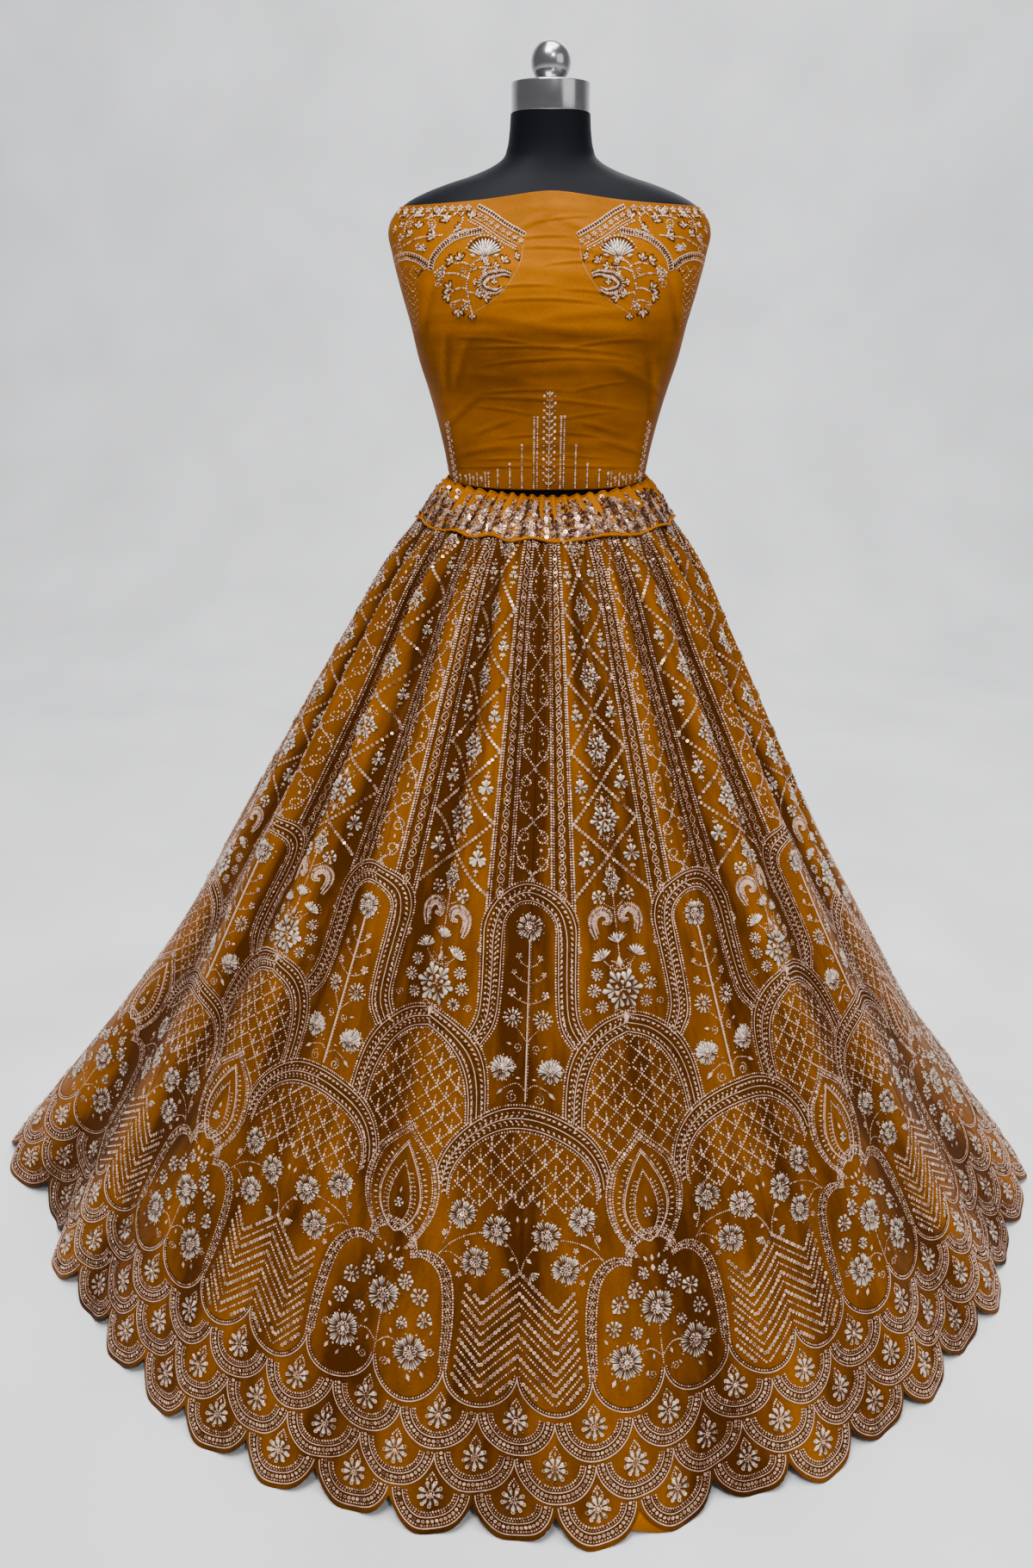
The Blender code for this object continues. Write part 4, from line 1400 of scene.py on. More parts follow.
def band_surface(angle, share):
    """The gathered waistband, from its ruffled top edge at 0 to its flounced foot at 1."""
    turn = np.radians(angle)
    across, ahead = direction(angle)
    waist = body_surface((*BARE_SECTIONS[:6], *bust_sections()), angle, np.full_like(turn, BAND_TOP_HEIGHT))
    top_radius = np.hypot(waist[..., 0], waist[..., 1]) + 0.0026
    seam_radius = skirt_radius(angle, np.full_like(turn, SEAM_HEIGHT))
    ruffle = 0.5 + 0.5 * np.sin(band_phase(turn))
    fullness = 0.75 + 0.25 * np.sin(5 * turn + 1.0)
    bulge = 0.0040 * np.sin(np.pi * np.clip(share, 0, 1))
    stand_out = BAND_RUFFLE_DEPTH * ruffle * fullness * (1 - 0.72 * share) * np.clip(1.15 - share, 0, 1)
    crimp = 0.0011 * np.sin(2 * BAND_GATHERS * turn + 1.0) * (1 - 0.5 * share)
    flounce = 0.0042 * np.clip((share - 0.55) / 0.45, 0, 1) ** 2
    wave = 0.0022 * np.sin(17 * turn + 1.3 * np.sin(4 * turn)) * np.clip((share - 0.5) / 0.5, 0, 1)
    easing = np.sign(share) * np.abs(share) ** 0.9
    radius = top_radius + (seam_radius - top_radius) * easing + bulge + stand_out + crimp + flounce + wave
    ruffled_top = BAND_TOP_HEIGHT + 0.0010 + 0.0085 * across**2 - 0.0045 * (1 - ruffle) * (1 - share)
    foot = SEAM_HEIGHT - 0.0015 + 0.0022 * np.sin(13 * turn + 2.0 * np.sin(3 * turn))
    height = ruffled_top + (foot - ruffled_top) * share
    return np.stack([across * radius, ahead * radius, height], -1)


def make_waistband():
    angle, share = np.meshgrid(np.linspace(0, 360, 529)[:-1], np.linspace(0, 1, 13))
    point, _, _, out = band_frames(angle, share)
    uv = np.stack([angle / 360 * 1.2, share * 0.045], -1)
    made = cloth_wall("gathered_waistband", point, out, BAND_THICKNESS, True, finish("mustard satin silk"), uv)
    return settle(made, "mustard_net", "waistband")


def cord_round(name, share, radius, steps, sides, lift):
    """A thin closed cord that follows one line of the waistband all the way round."""
    angle = np.linspace(0, 360, steps, endpoint=False)
    point, _, fall, out = band_frames(angle, np.full(steps, share))
    turn = np.arange(sides) * math.tau / sides
    ring = (point + out * lift)[:, None] + radius * (
        np.cos(turn)[None, :, None] * out[:, None] + np.sin(turn)[None, :, None] * fall[:, None]
    )
    index = np.arange(steps * sides).reshape(steps, sides)
    index = np.concatenate([index, index[:1]])
    index = np.concatenate([index, index[:, :1]], 1)
    faces = np.stack([index[:-1, :-1], index[:-1, 1:], index[1:, 1:], index[1:, :-1]], -1).reshape(-1, 4)
    uv = np.stack(np.meshgrid(np.arange(sides) * 0.002, np.linspace(0, 1.1, steps)), -1).reshape(-1, 2)
    return new_mesh(name, ring.reshape(-1, 3), faces, [finish("mustard satin silk")], uv)


def make_waist_cords():
    cording = cord_round("waist_cording", 0.985, 0.0015, 360, 8, 0.0008)
    settle(cording, "mustard_satin", "waist_piping")
    edge = cord_round("ruffle_edge", 0.01, 0.0010, 528, 6, 0.0)
    return [cording, settle(edge, "mustard_satin")]


def make_waist_sequins():
    """Sequins and beads worked close together all over the waistband, with bare cloth in the folds' edges."""
    rng = np.random.default_rng(7)
    angle = rng.uniform(0, 360, BAND_STITCHES)
    share = rng.uniform(0.10, 0.93, BAND_STITCHES)
    turn = np.radians(angle)
    kept = np.sin(band_phase(turn)) + 0.8 * np.sin(13 * turn) * (1 - share) < 0.45 + 2.6 * (share - 0.22)
    places = np.stack([angle, share], 1)[kept]
    half = len(places) // 2
    chart = Chart()
    chart.keep("bead", places[:half], rng.uniform(0.9, 1.6, half))
    chart.keep("sequin", places[half:], rng.uniform(1.8, 3.0, len(places) - half))

    def place(_, at, down):
        return band_frames(at, down)

    # stitches painted darker in the shade of the pleats' valleys and lighter on their crests
    def pleat_shaded(_, x, s):
        return 0.10 + 0.38 * np.sin(band_phase(np.radians(x)) + 2.4)

    made = lay_chart("waistband_sequins", chart.laid(), place, 8, stitch_finishes(), pleat_shaded)
    return settle(made, "mustard_net")


CHOLI_CREASES = (
    # in millimetres: x and height of the middle, half length, tilt in degrees, half width, depth
    (0, 1306, 45, 0, 6, 0.8), (-30, 1286, 36, 28, 4.5, 0.9), (36, 1283, 38, -26, 4.5, 0.9),
    (10, 1266, 42, -3, 2.4, 1), (-20, 1243, 80, -5, 8, 0.8), (-4, 1214, 52, -1, 2.2, 1.2), (40, 1197, 70, 4, 7, 1.2),
    (-45, 1190, 70, -7, 7, 1.2), (0, 1180, 110, 0, 9, 1.8), (-4, 1164, 85, -2, 2.2, 1.5), (20, 1140, 80, 3, 8, 1.2),
    (-50, 1128, 50, -8, 6, 1), (12, 1105, 85, -5, 2.4, 1.6), (-67, 1073, 24, 22, 3.4, 1.4),
    (60, 1073, 28, -17, 3.4, 1.4), (0, 1052, 80, 2, 7, 1), (0, 1028, 112, 0, 1.8, 1.3), (121, 1118, 32, -83, 5, 2.2),
    (105, 1127, 36, -29, 5, 1.8), (88, 1049, 30, -20, 3.6, 1.4), (-121.5, 1143, 33, 88, 5, 2.2),
    (-103, 1144, 28, 71, 5, 1.8), (-103, 1090, 26, 44, 4.6, 1.8), (-80, 1045, 30, 14, 4, 1.2),
    (-140, 1205, 35, 74, 5, 1.5), (144, 1205, 35, -76, 5, 1.5), (12, 1296, 30, 6, 2, 1), (-16, 1277, 34, 4, 2, 1.1),
    (30, 1252, 34, 2, 2, 1.1), (-34, 1228, 30, 3, 2, 1.1), (44, 1222, 28, -6, 2, 1), (-62, 1172, 40, -4, 2.2, 1.5),
    (66, 1170, 40, 5, 2.2, 1.5), (34, 1152, 52, -2, 2, 1.3), (-38, 1149, 36, 6, 2, 1.2), (-26, 1117, 48, 2, 2, 1.3),
    (58, 1122, 34, 9, 2, 1.3), (-52, 1094, 36, -7, 2, 1.2), (40, 1088, 34, 8, 2, 1.2), (-30, 1064, 30, 5, 2, 1.1),
    (34, 1066, 30, -6, 2, 1.1), (26, 1040, 40, -3, 2, 1.1), (-48, 1036, 34, 2, 2, 1.1),
)
CHOLI_EASE = 0.0011           # how far the loose cloth stands off the bust between its creases
CREASE_SHADE = 200.0          # how much darker the cloth is for each metre that a crease is deep
CHOLI_SIDE_SHADE = 0.55       # how much darker it is where it turns away to the side
CHOLI_SIDE_START = 0.86
CHOLI_LIGHT = (
    # heights, and how light the cloth is painted there, lit from above
    [1.00, 1.03, 1.09, 1.15, 1.175, 1.20, 1.25, 1.33],
    [0.42, 0.40, 0.34, 0.22, 0.26, 0.60, 0.80, 0.52],
)


def crease_depth(x, height):
    """How far the wrinkles pull the choli cloth in: each is a soft step, in below a line and out above it."""
    depth = 0.0
    for middle_x, middle_z, half_length, tilt, half_width, deep in CHOLI_CREASES:
        turn = math.radians(tilt)
        half_length, half_width, deep = half_length / 1000, half_width / 1000, deep / 1000
        dx, dz = x - middle_x / 1000, height - middle_z / 1000
        lengthwise = dx * math.cos(turn) + dz * math.sin(turn)
        sideways = -dx * math.sin(turn) + dz * math.cos(turn)
        sideways = (sideways + 0.06 * lengthwise**2 / half_length) / half_width
        depth = depth - 1.6 * deep * sideways * np.exp(-((lengthwise / half_length) ** 4) - sideways**2)
    return np.clip(depth, -0.0030, 0.0014)


def choli_top(angle):
    _, ahead = direction(angle)
    rise = CHOLI_TOP_AT_FRONT - CHOLI_TOP_AT_SIDE
    return CHOLI_TOP_AT_SIDE + rise * np.where(ahead < 0, np.abs(ahead) ** 2.5, 0.4 * ahead**6)


def choli_surface(angle, share):
    """The wrapped choli cloth, from its top edge at 0 to its hem at 1."""
    top = choli_top(angle)
    height = top + (CHOLI_HEM_HEIGHT - top) * share
    point = body_surface(CHOLI_SECTIONS, angle, height)
    edge = np.clip(share / 0.06, 0, 1) * np.clip((1 - share) / 0.04, 0, 1)
    return pushed_in(point, (crease_depth(point[..., 0], height) - CHOLI_EASE) * edge)


def lit_from_above(wall, point):
    """Paints light and shade into the choli's colour, as if lit from above: light on the chest, painted shade under
    the bust and half light at the waist, painted shade in the creases and where it turns away to the side.
    """
    height = point[..., 2]
    crest = np.interp(height, *CHOLI_LIGHT)
    crest = crest - CREASE_SHADE * crease_depth(point[..., 0], height)
    sideways = np.abs(point[..., 0]) / np.hypot(point[..., 0], point[..., 1])
    crest = crest - CHOLI_SIDE_SHADE * np.clip((sideways - CHOLI_SIDE_START) / (1 - CHOLI_SIDE_START), 0, 1)
    mark_points(wall, "fold", np.tile(np.clip(crest, 0, 1).ravel(), 2))


def make_choli():
    made = []
    for name, first in (("front", 0.0), ("back", 180.0)):
        angle, share = np.meshgrid(np.linspace(first, first + 180, 121), np.linspace(0, 1, 231))
        point, _, _, out = frames_on(choli_surface, angle, share, 0.1, 0.002)
        uv = np.stack([(angle - first) / 180 * 0.45, share * 0.32], -1)
        wall = cloth_wall(f"choli_cloth_{name}", point, out, CHOLI_THICKNESS, False, finish("wrapped satin silk"), uv)
        lit_from_above(wall, point)
        made.append(settle(wall, "mustard_satin", f"choli_{name}"))
    return made


def choli_place(side):
    """Gives frames on the front (side 1) or the back (-1) at a distance from the middle and a height, in mm."""
    def surface(across, at):
        half_width, front, back = np.moveaxis(rows_at(CHOLI_SECTIONS, at), -1, 0)
        share = np.clip(np.abs(across) / half_width, 0, 0.995)
        depth = (front if side > 0 else back) * (1 - share**BODY_ROUNDNESS) ** (1 / BODY_ROUNDNESS)
        x = side * np.sign(across) * share * half_width
        return np.stack([x, -side * (depth - crease_depth(side * across, at) + CHOLI_EASE), at], -1)

    return lambda origin, x, height: frames_on(surface, x * MM, height * MM, 0.0006, 0.0006)


def choli_chart():
    """The neckline and hem work of the choli front: x from the middle, and the height of each stitch."""
    chart = Chart()
    for hand in (1, -1):
        chart_shoulder(chart, hand)
        for x, top in (
            (13.8, 1085), (17.8, 1085), (32, 1052), (46.5, 1029), (61, 1021), (72, 1017), (76, 1017), (86, 1015),
            (95, 1013),
        ):
            chart.beads([(hand * x, top), (hand * x, 1003)], 2.6, 1.3)
            chart.keep("sequin", [(hand * x, top + 2)], 1.6)
        for x in (81, 91, 100, 107, 113):
            chart.sprig(hand * x, 1004, 8.5, 90, 2)
        for k in range(10):
            chart.berry(hand * (114 + 0.9 * k), 1004 + 7.5 * k, 3.0)
            chart.leaf(hand, 110 + 0.9 * k, 1006 + 7.5 * k, 60, 5.0, 2.4)
    chart.beads([(0, 1110), (0, 1002)], 2.6, 1.3)
    for k in range(13):
        height = 1006 + 8.2 * k
        for hand in (1, -1):
            chart.leaf(hand, 0, height, 42, 6.6, 3.0)
            chart.keep("bead", [(hand * 6.4, height + 6.2)], 1.9)
    chart.petals([(0, 1110)] * 3, np.array([55, 90, 125]), 8, 3.4)
    return chart.laid()


def chart_shoulder(chart, hand):
    """One side of the neckline work: the roped band, two arches, the lotus on its stem, and the net below."""
    flip = (hand, 1)
    band = curved([(80, 1310), (66, 1303), (49, 1292), (28, 1281)])
    away = np.array((0.58, -0.81))
    chart.rope((band + 2.0 * away) * flip, 2.2)
    for x, height in resampled(band + 9.6 * away, 7.6)[0]:
        chart.berry(hand * x, height, 2.8)
    chart.beads((band + 14.4 * away) * flip, 2.7, 1.1)
    chart.cord((band + 17.6 * away) * flip, 1.0, None, 3.0)
    chart.beads((band + 20.4 * away) * flip, 2.8, 1.25)
    chart.rope(curved([(76, 1284), (104, 1278), (122, 1267), (132, 1255), (135, 1244)]) * flip, 3.0)
    chart.rope(curved([(138, 1247), (148, 1254), (162, 1258), (174, 1256), (181, 1251)]) * flip, 3.8, 2.6)
    # The net at the side, close rows of zigzag that narrow downwards, each on a strip of painted shadow just below it
    for row in range(10):
        height = 1244 - 7.0 * row
        inner = np.interp(height, [1178, 1204, 1224, 1242, 1246], [151, 152, 152, 148, 141])
        outer = np.interp(height, [1184, 1223, 1246, 1260], [162, 173, 179, 181])
        across = np.arange(inner, outer, 5.0)
        zigzag = np.stack([across, height + 3.0 * (-1.0) ** np.arange(len(across))], 1)
        chart.ground((zigzag + (0, -3.4)) * flip, 3.8)
        chart.beads(zigzag * flip, 3.2, 1.0)
    # The lotus
    foot = (hand * 74, 1257)
    # painted shadow under the lotus
    for reach in (6.0, 12.0, 18.0):
        chart.ground(arc(foot, reach, 26, 154), 6.2)
    for radius, spread, ribs, lift in ((20.5, 132, 13, 1.2), (14.0, 112, 9, 2.0), (9.5, 96, 5, 2.8)):
        turn = 90 + np.linspace(-spread / 2, spread / 2, ribs)
        chart.ribs([foot] * ribs, turn, radius, 2.9, lift)
    chart.keep("bead", arc_points(foot, 21.6, 90 + np.linspace(-66, 66, 13)), 1.4)
    chart.petals([(foot[0] + x, 1257) for x in (-9, -3, 3, 9)], np.array([160, 110, 70, 20]), 8.0, 4.0, 1.6)
    chart.petals([foot] * 5, 270 + np.array([-75, -40, 0, 40, 75]), 6.5, 3.4, 0.9)
    # Its stem and branches
    for points in (
        [(80, 1254), (85, 1251), (90, 1242), (94, 1228), (92, 1214), (88, 1199)],
        [(89, 1248), (97, 1251), (106, 1250)],
        [(94, 1236), (106, 1240), (119, 1240)],
        [(95, 1225), (103, 1225), (110, 1222)],
        [(93, 1211), (100, 1213), (107, 1211)],
        [(88, 1243), (80, 1246), (66, 1246)],
        [(92, 1221), (84, 1220), (74, 1217)],
        [(180, 1268), (167, 1276), (164, 1290), (157, 1298), (150, 1302)],
        [(166, 1269), (150, 1276), (135, 1278), (122, 1279)],
        [(107, 1284), (101, 1289), (98, 1296), (104, 1302)],
        [(112, 1298), (128, 1299), (140, 1296)],
    ):
        chart.twig(hand, points, 1.25)
    for x, height, turn, size in (
        (101, 1254, 75, 8.5), (110, 1252, 20, 8.5), (112, 1224, 35, 9.5), (114, 1218, -25, 9.0), (103, 1203, -85, 9.0),
        (76, 1242, 200, 6.5), (73, 1249, 120, 7.0), (63, 1247, 165, 7.0), (53, 1252, 125, 8.0), (40, 1257, 160, 6.5),
        (86, 1232, 190, 5.5), (83, 1219, 160, 7.5), (74, 1216, 185, 8.0), (63, 1230, 90, 5.5), (88, 1198, -90, 6.0),
        (116, 1293, 60, 9.0), (131, 1277, 30, 9.0), (149, 1287, 90, 8.5), (101, 1286, 20, 7.0), (158, 1279, 50, 8.0),
        (165, 1299, 60, 7.0), (89, 1297, 100, 7.5), (124, 1301, 70, 8.0), (150, 1299, 120, 8.0), (176, 1285, 10, 7.0),
        (143, 1268, -50, 6.0), (168, 1288, 60, 7.0),
    ):
        chart.trefoil(hand * x, height, mirrored(turn, hand), size)
    for x, height in (
        (121, 1244), (127, 1240), (123, 1236), (143, 1266), (149, 1267), (105, 1281), (96, 1206), (170, 1277),
        (133, 1286),
    ):
        chart.berry(hand * x, height, 4.0)
    for x, height, radius, start in (
        (98, 1243, 3.6, 270), (126, 1229, 4.4, 90), (109, 1207, 4.0, 90), (134, 1291, 5.0, 200), (171, 1266, 5.0, 90),
        (95, 1283, 4.0, 0), (159, 1290, 4.5, 180), (110, 1276, 3.6, 90),
    ):
        chart.curl(hand * x, height, radius, mirrored(start, hand), -hand)
    hook = [(45, 1239), (52, 1241), (60, 1240), (69, 1238), (76, 1232), (75, 1226), (69, 1223), (61, 1222), (55, 1225)]
    # painted shadow under the padded hook
    chart.ground(curved(hook) * flip, 9.0)
    chart.padded(curved(hook) * flip, 4.4)
    for k in range(10):
        chart.berry(hand * (92 + 9 * k), 1306.5 - 0.25 * k, 3.4)
        chart.leaf(hand, 96 + 9 * k, 1303.0 - 0.25 * k, -60, 6.0, 3.0)
    chart.cord(curved([(31, 1268), (35, 1250), (47, 1230), (63, 1214), (88, 1199)]) * flip, 0.3)


def choli_back_chart():
    """The plain back has only the hem's short bead lines."""
    chart = Chart()
    for k in range(-9, 10):
        chart.beads([(k * 11.5, 1003), (k * 11.5, 1012)], 2.5, 1.0)
        chart.berry(k * 11.5, 1015, 2.4)
    return chart.laid()


def make_choli_work():
    made = []
    for name, chart, side, seed, middle in (
        ("front", choli_chart(), 1, 41, 0.60), ("back", choli_back_chart(), -1, 42, 0.55),
    ):
        work = lay_chart(f"choli_zardozi_{name}", chart, choli_place(side), seed, stitch_finishes(), middle)
        made.append(settle(work, "mustard_satin"))
    return made


# Pieces of the dress form

LEVEL = 1e-6                  # edges whose ends differ less than this in height are level
FOOT_STEP, FOOT_BOSS = 0.008, 0.036


def deselect():
    if bpy.context.mode != "OBJECT":
        bpy.ops.object.mode_set(mode="OBJECT")
    bpy.ops.object.select_all(action="DESELECT")


@contextlib.contextmanager
def edit_mode(select=None):
    """Edit mode on the active object, with all of it selected or none of it."""
    bpy.ops.object.mode_set(mode="EDIT")
    if select:
        bpy.ops.mesh.select_all(action=select)
    yield
    bpy.ops.object.mode_set(mode="OBJECT")


def pick(made, parts, wanted):
    """Selects the edges or faces that are wanted, by where their corners are."""
    with edit_mode("DESELECT"):
        pass
    for part in parts:
        part.select = wanted([made.data.vertices[i].co for i in part.vertices], part)


def finish_rigid(made, name, material, slot, smooth_angle, *nodes):
    """Names a modelled piece, puts its place into its mesh, shades it and settles it on the body."""
    made.name = made.data.name = name
    bpy.ops.object.transform_apply(location=True, rotation=True, scale=True)
    bpy.ops.object.shade_smooth_by_angle(angle=math.radians(smooth_angle))
    made.data.materials.clear()
    made.data.materials.append(finish(material))
    return settle(made, slot, *nodes)


def make_torso():
    """The bust: smooth rings of the measured sections, closed above and below."""
    covered = [row for row in bust_sections() if row[0] < 1.312]
    heights = np.concatenate([
        np.linspace(low, high, count)
        for low, high, count in ((0.740, 0.760, 5), (0.775, 1.300, 50), (1.305, 1.372, 34), (1.376, 1.4047, 8))
    ])
    angle, height = np.meshgrid(np.linspace(0, 360, 97)[:-1], heights)
    point = body_surface((*BARE_SECTIONS, *covered), angle, height)
    seam = sum(np.exp(-(angle_from(angle, at) / FORM_SEAM_SPREAD) ** 2) for at in FORM_SEAMS)
    point = pushed_in(point, FORM_SEAM_DEPTH * seam * (height > 1.28) * (height < 1.345))
    rows, columns = height.shape
    mesh = bpy.data.meshes.new("form_bust")
    index = np.arange(rows * columns).reshape(rows, columns)
    index = np.concatenate([index, index[:, :1]], 1)
    quads = np.stack([index[:-1, :-1], index[1:, :-1], index[1:, 1:], index[:-1, 1:]], -1).reshape(-1, 4)
    faces = [tuple(q) for q in quads.tolist()]
    faces += [tuple(index[0, :-1].tolist()), tuple(index[-1, :-1][::-1].tolist())]
    mesh.from_pydata(point.reshape(-1, 3).tolist(), [], faces)
    made = new_object("form_bust", mesh)
    shape = bmesh.new()
    shape.from_mesh(mesh)
    bmesh.ops.recalc_face_normals(shape, faces=shape.faces)
    shape.to_mesh(mesh)
    shape.free()
    mesh.shade_smooth()
    mesh.set_sharp_from_angle(angle=math.radians(50))
    mesh.materials.append(finish("black jersey"))
    return settle(made, "black_jersey", "form_torso")


def turned_piece(name, low, high, material, slot, bevel, *nodes):
    """A round metal piece as wide and tall as its solid, with softened rims."""
    deselect()
    radius = (high.x - low.x) / 2
    middle = (low + high) / 2
    bpy.ops.mesh.primitive_cylinder_add(vertices=96, radius=radius, depth=high.z - low.z, location=middle)
    made = bpy.context.object
    pick(made, made.data.edges, lambda ends, _: abs(ends[0].z - ends[1].z) < LEVEL)
    with edit_mode():
        bpy.ops.mesh.bevel(offset=bevel, segments=4)
    return finish_rigid(made, name, material, slot, 40, *nodes)


def make_neck_cap():
    low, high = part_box("neck_cap")
    return turned_piece("neck_cap_chrome", low, high, "neck chrome", "chrome", 0.0016, "neck_cap")


def make_ball():
    """The knob: a ball whose foot is pressed flat where it stands on the cap."""
    deselect()
    low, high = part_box("cap_ball")
    radius = (high.x - low.x) / 2
    centre = (low + high) / 2
    centre.z = high.z - radius
    bpy.ops.mesh.primitive_uv_sphere_add(segments=64, ring_count=40, radius=radius, location=centre)
    made = bpy.context.object
    with edit_mode("SELECT"):
        bpy.ops.mesh.bisect(plane_co=(0, 0, low.z), plane_no=(0, 0, 1), use_fill=True, clear_inner=True)
    return finish_rigid(made, "cap_ball_chrome", "neck chrome", "chrome", 40, "cap_ball")


def make_stand():
    """The pole with its collar, and the round foot with its boss."""
    low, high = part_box("stand_pole")
    made = []
    deselect()
    bpy.ops.mesh.primitive_cylinder_add(vertices=48, radius=0.0140, depth=high.z - low.z, location=(low + high) / 2)
    pole = bpy.context.object
    for below_top in (0.030, 0.024):
        with edit_mode("SELECT"):
            bpy.ops.mesh.bisect(plane_co=(0, 0, high.z - below_top), plane_no=(0, 0, 1))
    collar = (high.x - low.x) / 2
    for vertex in pole.data.vertices:
        if vertex.co.z + pole.location.z > high.z - 0.0245:
            reach = math.hypot(vertex.co.x, vertex.co.y)
            vertex.co.x *= collar / reach
            vertex.co.y *= collar / reach
    made.append(finish_rigid(pole, "stand_pole_steel", "black steel", "black_steel", 30, "stand_pole"))
    low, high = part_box("stand_foot")
    deselect()
    radius = (high.x - low.x) / 2
    bpy.ops.mesh.primitive_cylinder_add(vertices=96, radius=radius, depth=0.012, location=(0, 0, 0.006))
    foot = bpy.context.object
    with edit_mode():
        bpy.ops.mesh.select_mode(type="FACE")
    pick(foot, foot.data.polygons, lambda _, face: face.normal.z > 0.9)
    with edit_mode():
        bpy.ops.mesh.inset(thickness=FOOT_STEP)
        bpy.ops.transform.translate(value=(0, 0, 0.0008))
        bpy.ops.mesh.inset(thickness=radius - FOOT_STEP - FOOT_BOSS)
        bpy.ops.mesh.inset(thickness=FOOT_STEP)
        bpy.ops.transform.translate(value=(0, 0, high.z - 0.0128))
    made.append(finish_rigid(foot, "stand_foot_steel", "black steel", "black_steel", 30, "stand_foot"))
    return made


# Stage


def make_stage():
    deselect()
    bpy.ops.mesh.primitive_plane_add(size=14, location=(0, 0, -0.0005))
    floor = bpy.context.object
    floor.name = "studio_floor"
    pick(floor, floor.data.edges, lambda ends, _: all(end.y > 1 for end in ends))
    with edit_mode():
        bpy.ops.mesh.select_mode(type="EDGE")
        bpy.ops.mesh.extrude_region_move(TRANSFORM_OT_translate={"value": (0, 0, 7)})
    for vertex in floor.data.vertices:
        if vertex.co.y > 1:
            vertex.co.y = 3.2
    bevel = floor.modifiers.new("cove", "BEVEL")
    bevel.width, bevel.segments = 1.2, 16
    bpy.ops.object.modifier_apply(modifier="cove")
    floor.data.shade_smooth()
    floor.data.materials.clear()
    floor.data.materials.append(finish("studio paper"))
    for name, place, size, power in (
        ("key_light", (-0.6, -1.5, 4.1), 1.4, 138),
        ("fill_light", (2.6, -2.0, 2.2), 2.2, 22),
        ("top_light", (0.2, -0.1, 4.3), 2.0, 150),
        ("glint_light", (0.5, -2.3, 2.9), 0.25, 22),
        ("back_light", (0.6, 2.6, 3.2), 2.4, 40),
    ):
        light = bpy.data.lights.new(name, "AREA")
        light.energy, light.size = power, size
        lamp = new_object(name, light)
        lamp.location = place
        aim = (CAD_BOX[0] + CAD_BOX[1]) / 2 - lamp.location
        lamp.rotation_euler = aim.to_track_quat("-Z", "Y").to_euler()
    world = bpy.data.worlds.new("studio_air")
    world.use_nodes = True
    feed(world.node_tree, world.node_tree.nodes["Background"], {"Color": (0.93, 0.95, 1.0, 1), "Strength": 0.24})
    bpy.context.scene.world = world


def make_camera():
    look = bpy.context.scene.lehenga_looks
    camera = bpy.data.cameras.new("photo_camera")
    camera.sensor_width = 36.0
    camera.lens = look.lens
    camera.clip_end = 50.0
    made = new_object("photo_camera", camera)
    made.location = look.camera_place
    made.rotation_euler = (math.pi / 2 - look.camera_pitch, 0, 0)
    bpy.context.scene.camera = made


# The add-on


class LehengaLooks(bpy.types.PropertyGroup):
    satin: FloatVectorProperty(
        name="Satin", description="Colour of the mustard satin silk", subtype="COLOR", default=(0.56, 0.168, 0.0)
    )
    net: FloatVectorProperty(
        name="Net", description="Colour of the net where it lies dark over the satin", subtype="COLOR",
        default=(0.056, 0.0145, 0.0005),
    )
    zari_light: FloatVectorProperty(
        name="Zari Light", description="Colour of the brightest beads and thread", subtype="COLOR",
        default=(0.97, 0.60, 0.42),
    )
    zari_dark: FloatVectorProperty(
        name="Zari Dark", description="Colour of the darkest beads and thread", subtype="COLOR",
        default=(0.060, 0.021, 0.008),
    )
    silver: FloatVectorProperty(
        name="Silver", description="Colour of the brightest silver thread in the blooms", subtype="COLOR",
        default=(0.79, 0.64, 0.52),
    )
    floor: FloatVectorProperty(
        name="Floor", description="Colour of the floor and the backdrop", subtype="COLOR", default=(0.93, 0.94, 0.96)
    )
    camera_place: FloatVectorProperty(
        name="Camera Place", description="Where the camera stands", subtype="TRANSLATION", unit="LENGTH",
        default=(-0.0385, -1.53, 1.255),
    )
    camera_pitch: FloatProperty(
        name="Camera Pitch", description="How far the camera looks down", subtype="ANGLE", default=math.radians(24.0)
    )
    lens: FloatProperty(name="Lens", description="Focal length", unit="CAMERA", default=27.08)


class LEHENGA_OT_skirt(bpy.types.Operator):
    """Make the twelve net kalis, their embroidery and the foot of their lining"""

    bl_idname = "lehenga.skirt"
    bl_label = "Lehenga Kalis"

    def execute(self, context):
        rows = lehenga_chart()
        for number in range(KALIS):
            net = make_kali(number)
            work = make_embroidery(number, rows)
            lining = make_lining(number)
        return {"FINISHED"}


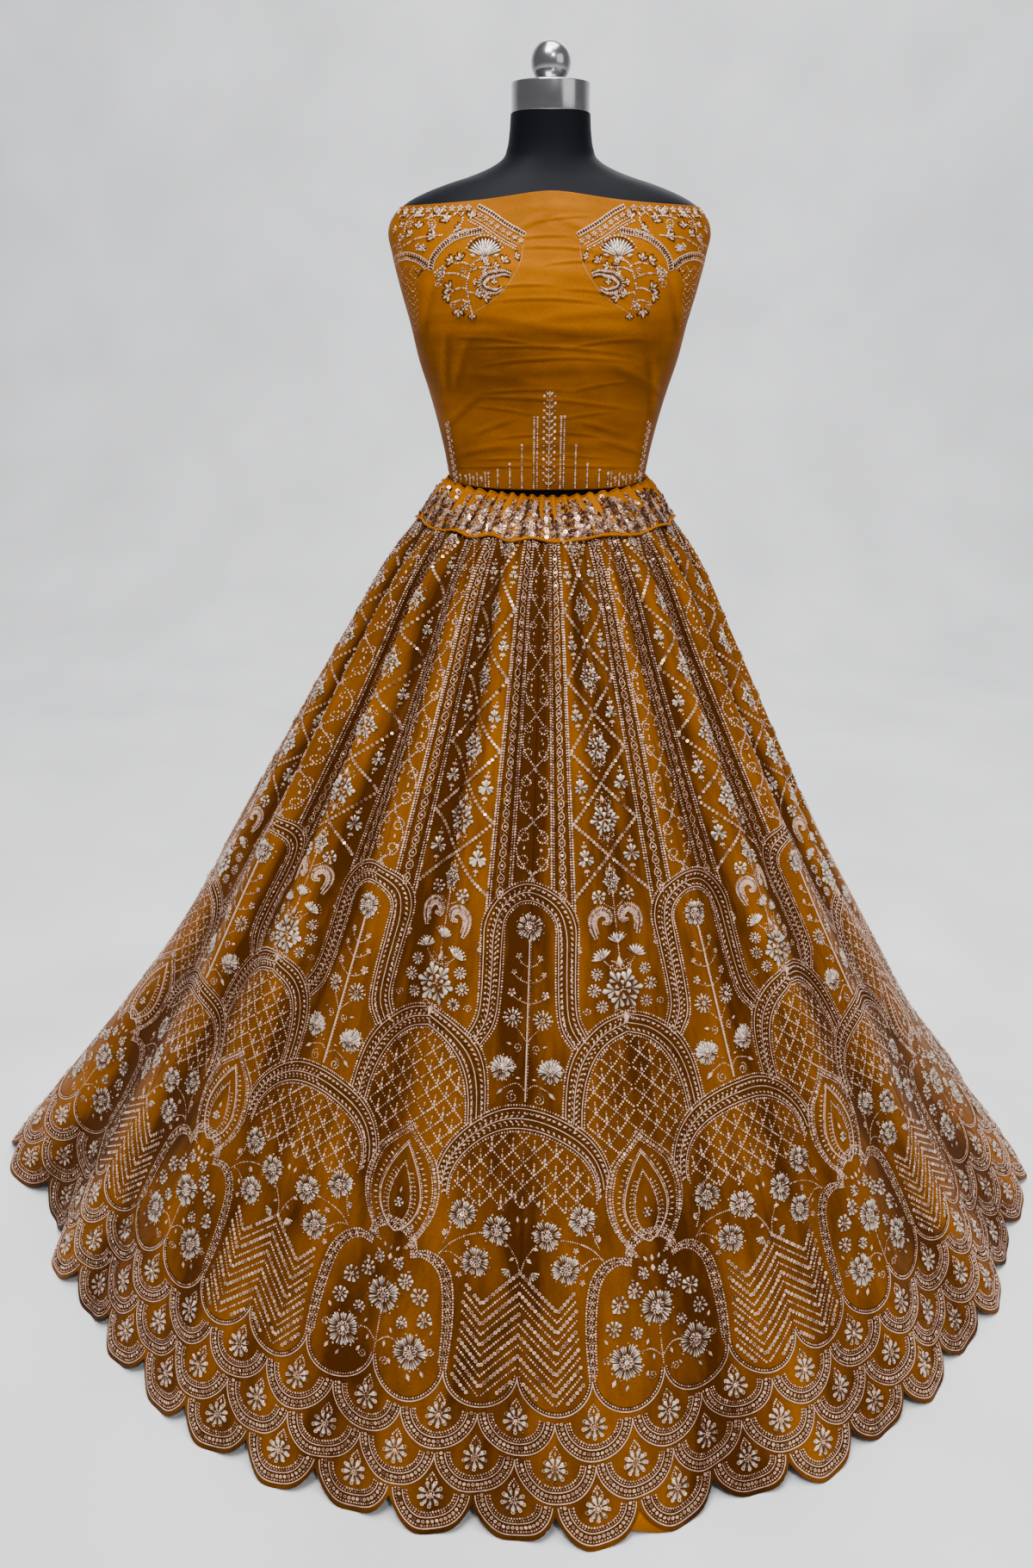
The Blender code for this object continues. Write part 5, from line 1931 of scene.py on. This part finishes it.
class LEHENGA_OT_waistband(bpy.types.Operator):
    """Make the gathered waistband with its cords and sequins"""

    bl_idname = "lehenga.waistband"
    bl_label = "Waistband"

    def execute(self, context):
        band = make_waistband()
        cords = make_waist_cords()
        work = make_waist_sequins()
        return {"FINISHED"}


class LEHENGA_OT_choli(bpy.types.Operator):
    """Make the wrapped choli cloth and its neckline and hem work"""

    bl_idname = "lehenga.choli"
    bl_label = "Choli"

    def execute(self, context):
        front, back = make_choli()
        front_work, back_work = make_choli_work()
        return {"FINISHED"}


class LEHENGA_OT_form(bpy.types.Operator):
    """Make the bust, the chrome neck cap and ball, and the stand"""

    bl_idname = "lehenga.form"
    bl_label = "Dress Form"

    def execute(self, context):
        make_torso()
        make_neck_cap()
        make_ball()
        make_stand()
        return {"FINISHED"}


class LEHENGA_OT_stage(bpy.types.Operator):
    """Make the floor, the lights and the camera"""

    bl_idname = "lehenga.stage"
    bl_label = "Stage"

    def execute(self, context):
        make_stage()
        make_camera()
        return {"FINISHED"}


OPERATORS = (LEHENGA_OT_form, LEHENGA_OT_skirt, LEHENGA_OT_waistband, LEHENGA_OT_choli, LEHENGA_OT_stage)


class LEHENGA_PT_pieces(bpy.types.Panel):
    """Lists the pieces that can be made"""

    bl_label = "Lehenga Choli"
    bl_idname = "LEHENGA_PT_pieces"
    bl_space_type = "VIEW_3D"
    bl_region_type = "UI"
    bl_category = "Lehenga"

    def draw(self, context):
        for made in OPERATORS:
            self.layout.operator(made.bl_idname)
        for name in ("satin", "net", "zari_light", "zari_dark", "silver", "floor"):
            self.layout.prop(context.scene.lehenga_looks, name)


CLASSES = (LehengaLooks, *OPERATORS, LEHENGA_PT_pieces)


def register():
    for made in CLASSES:
        bpy.utils.register_class(made)
    bpy.types.Scene.lehenga_looks = PointerProperty(type=LehengaLooks)


def unregister():
    del bpy.types.Scene.lehenga_looks
    for made in reversed(CLASSES):
        bpy.utils.unregister_class(made)


def main():
    register()
    bpy.ops.lehenga.form()
    bpy.ops.lehenga.skirt()
    bpy.ops.lehenga.waistband()
    bpy.ops.lehenga.choli()
    bpy.ops.lehenga.stage()


if __name__ == "__main__":
    main()
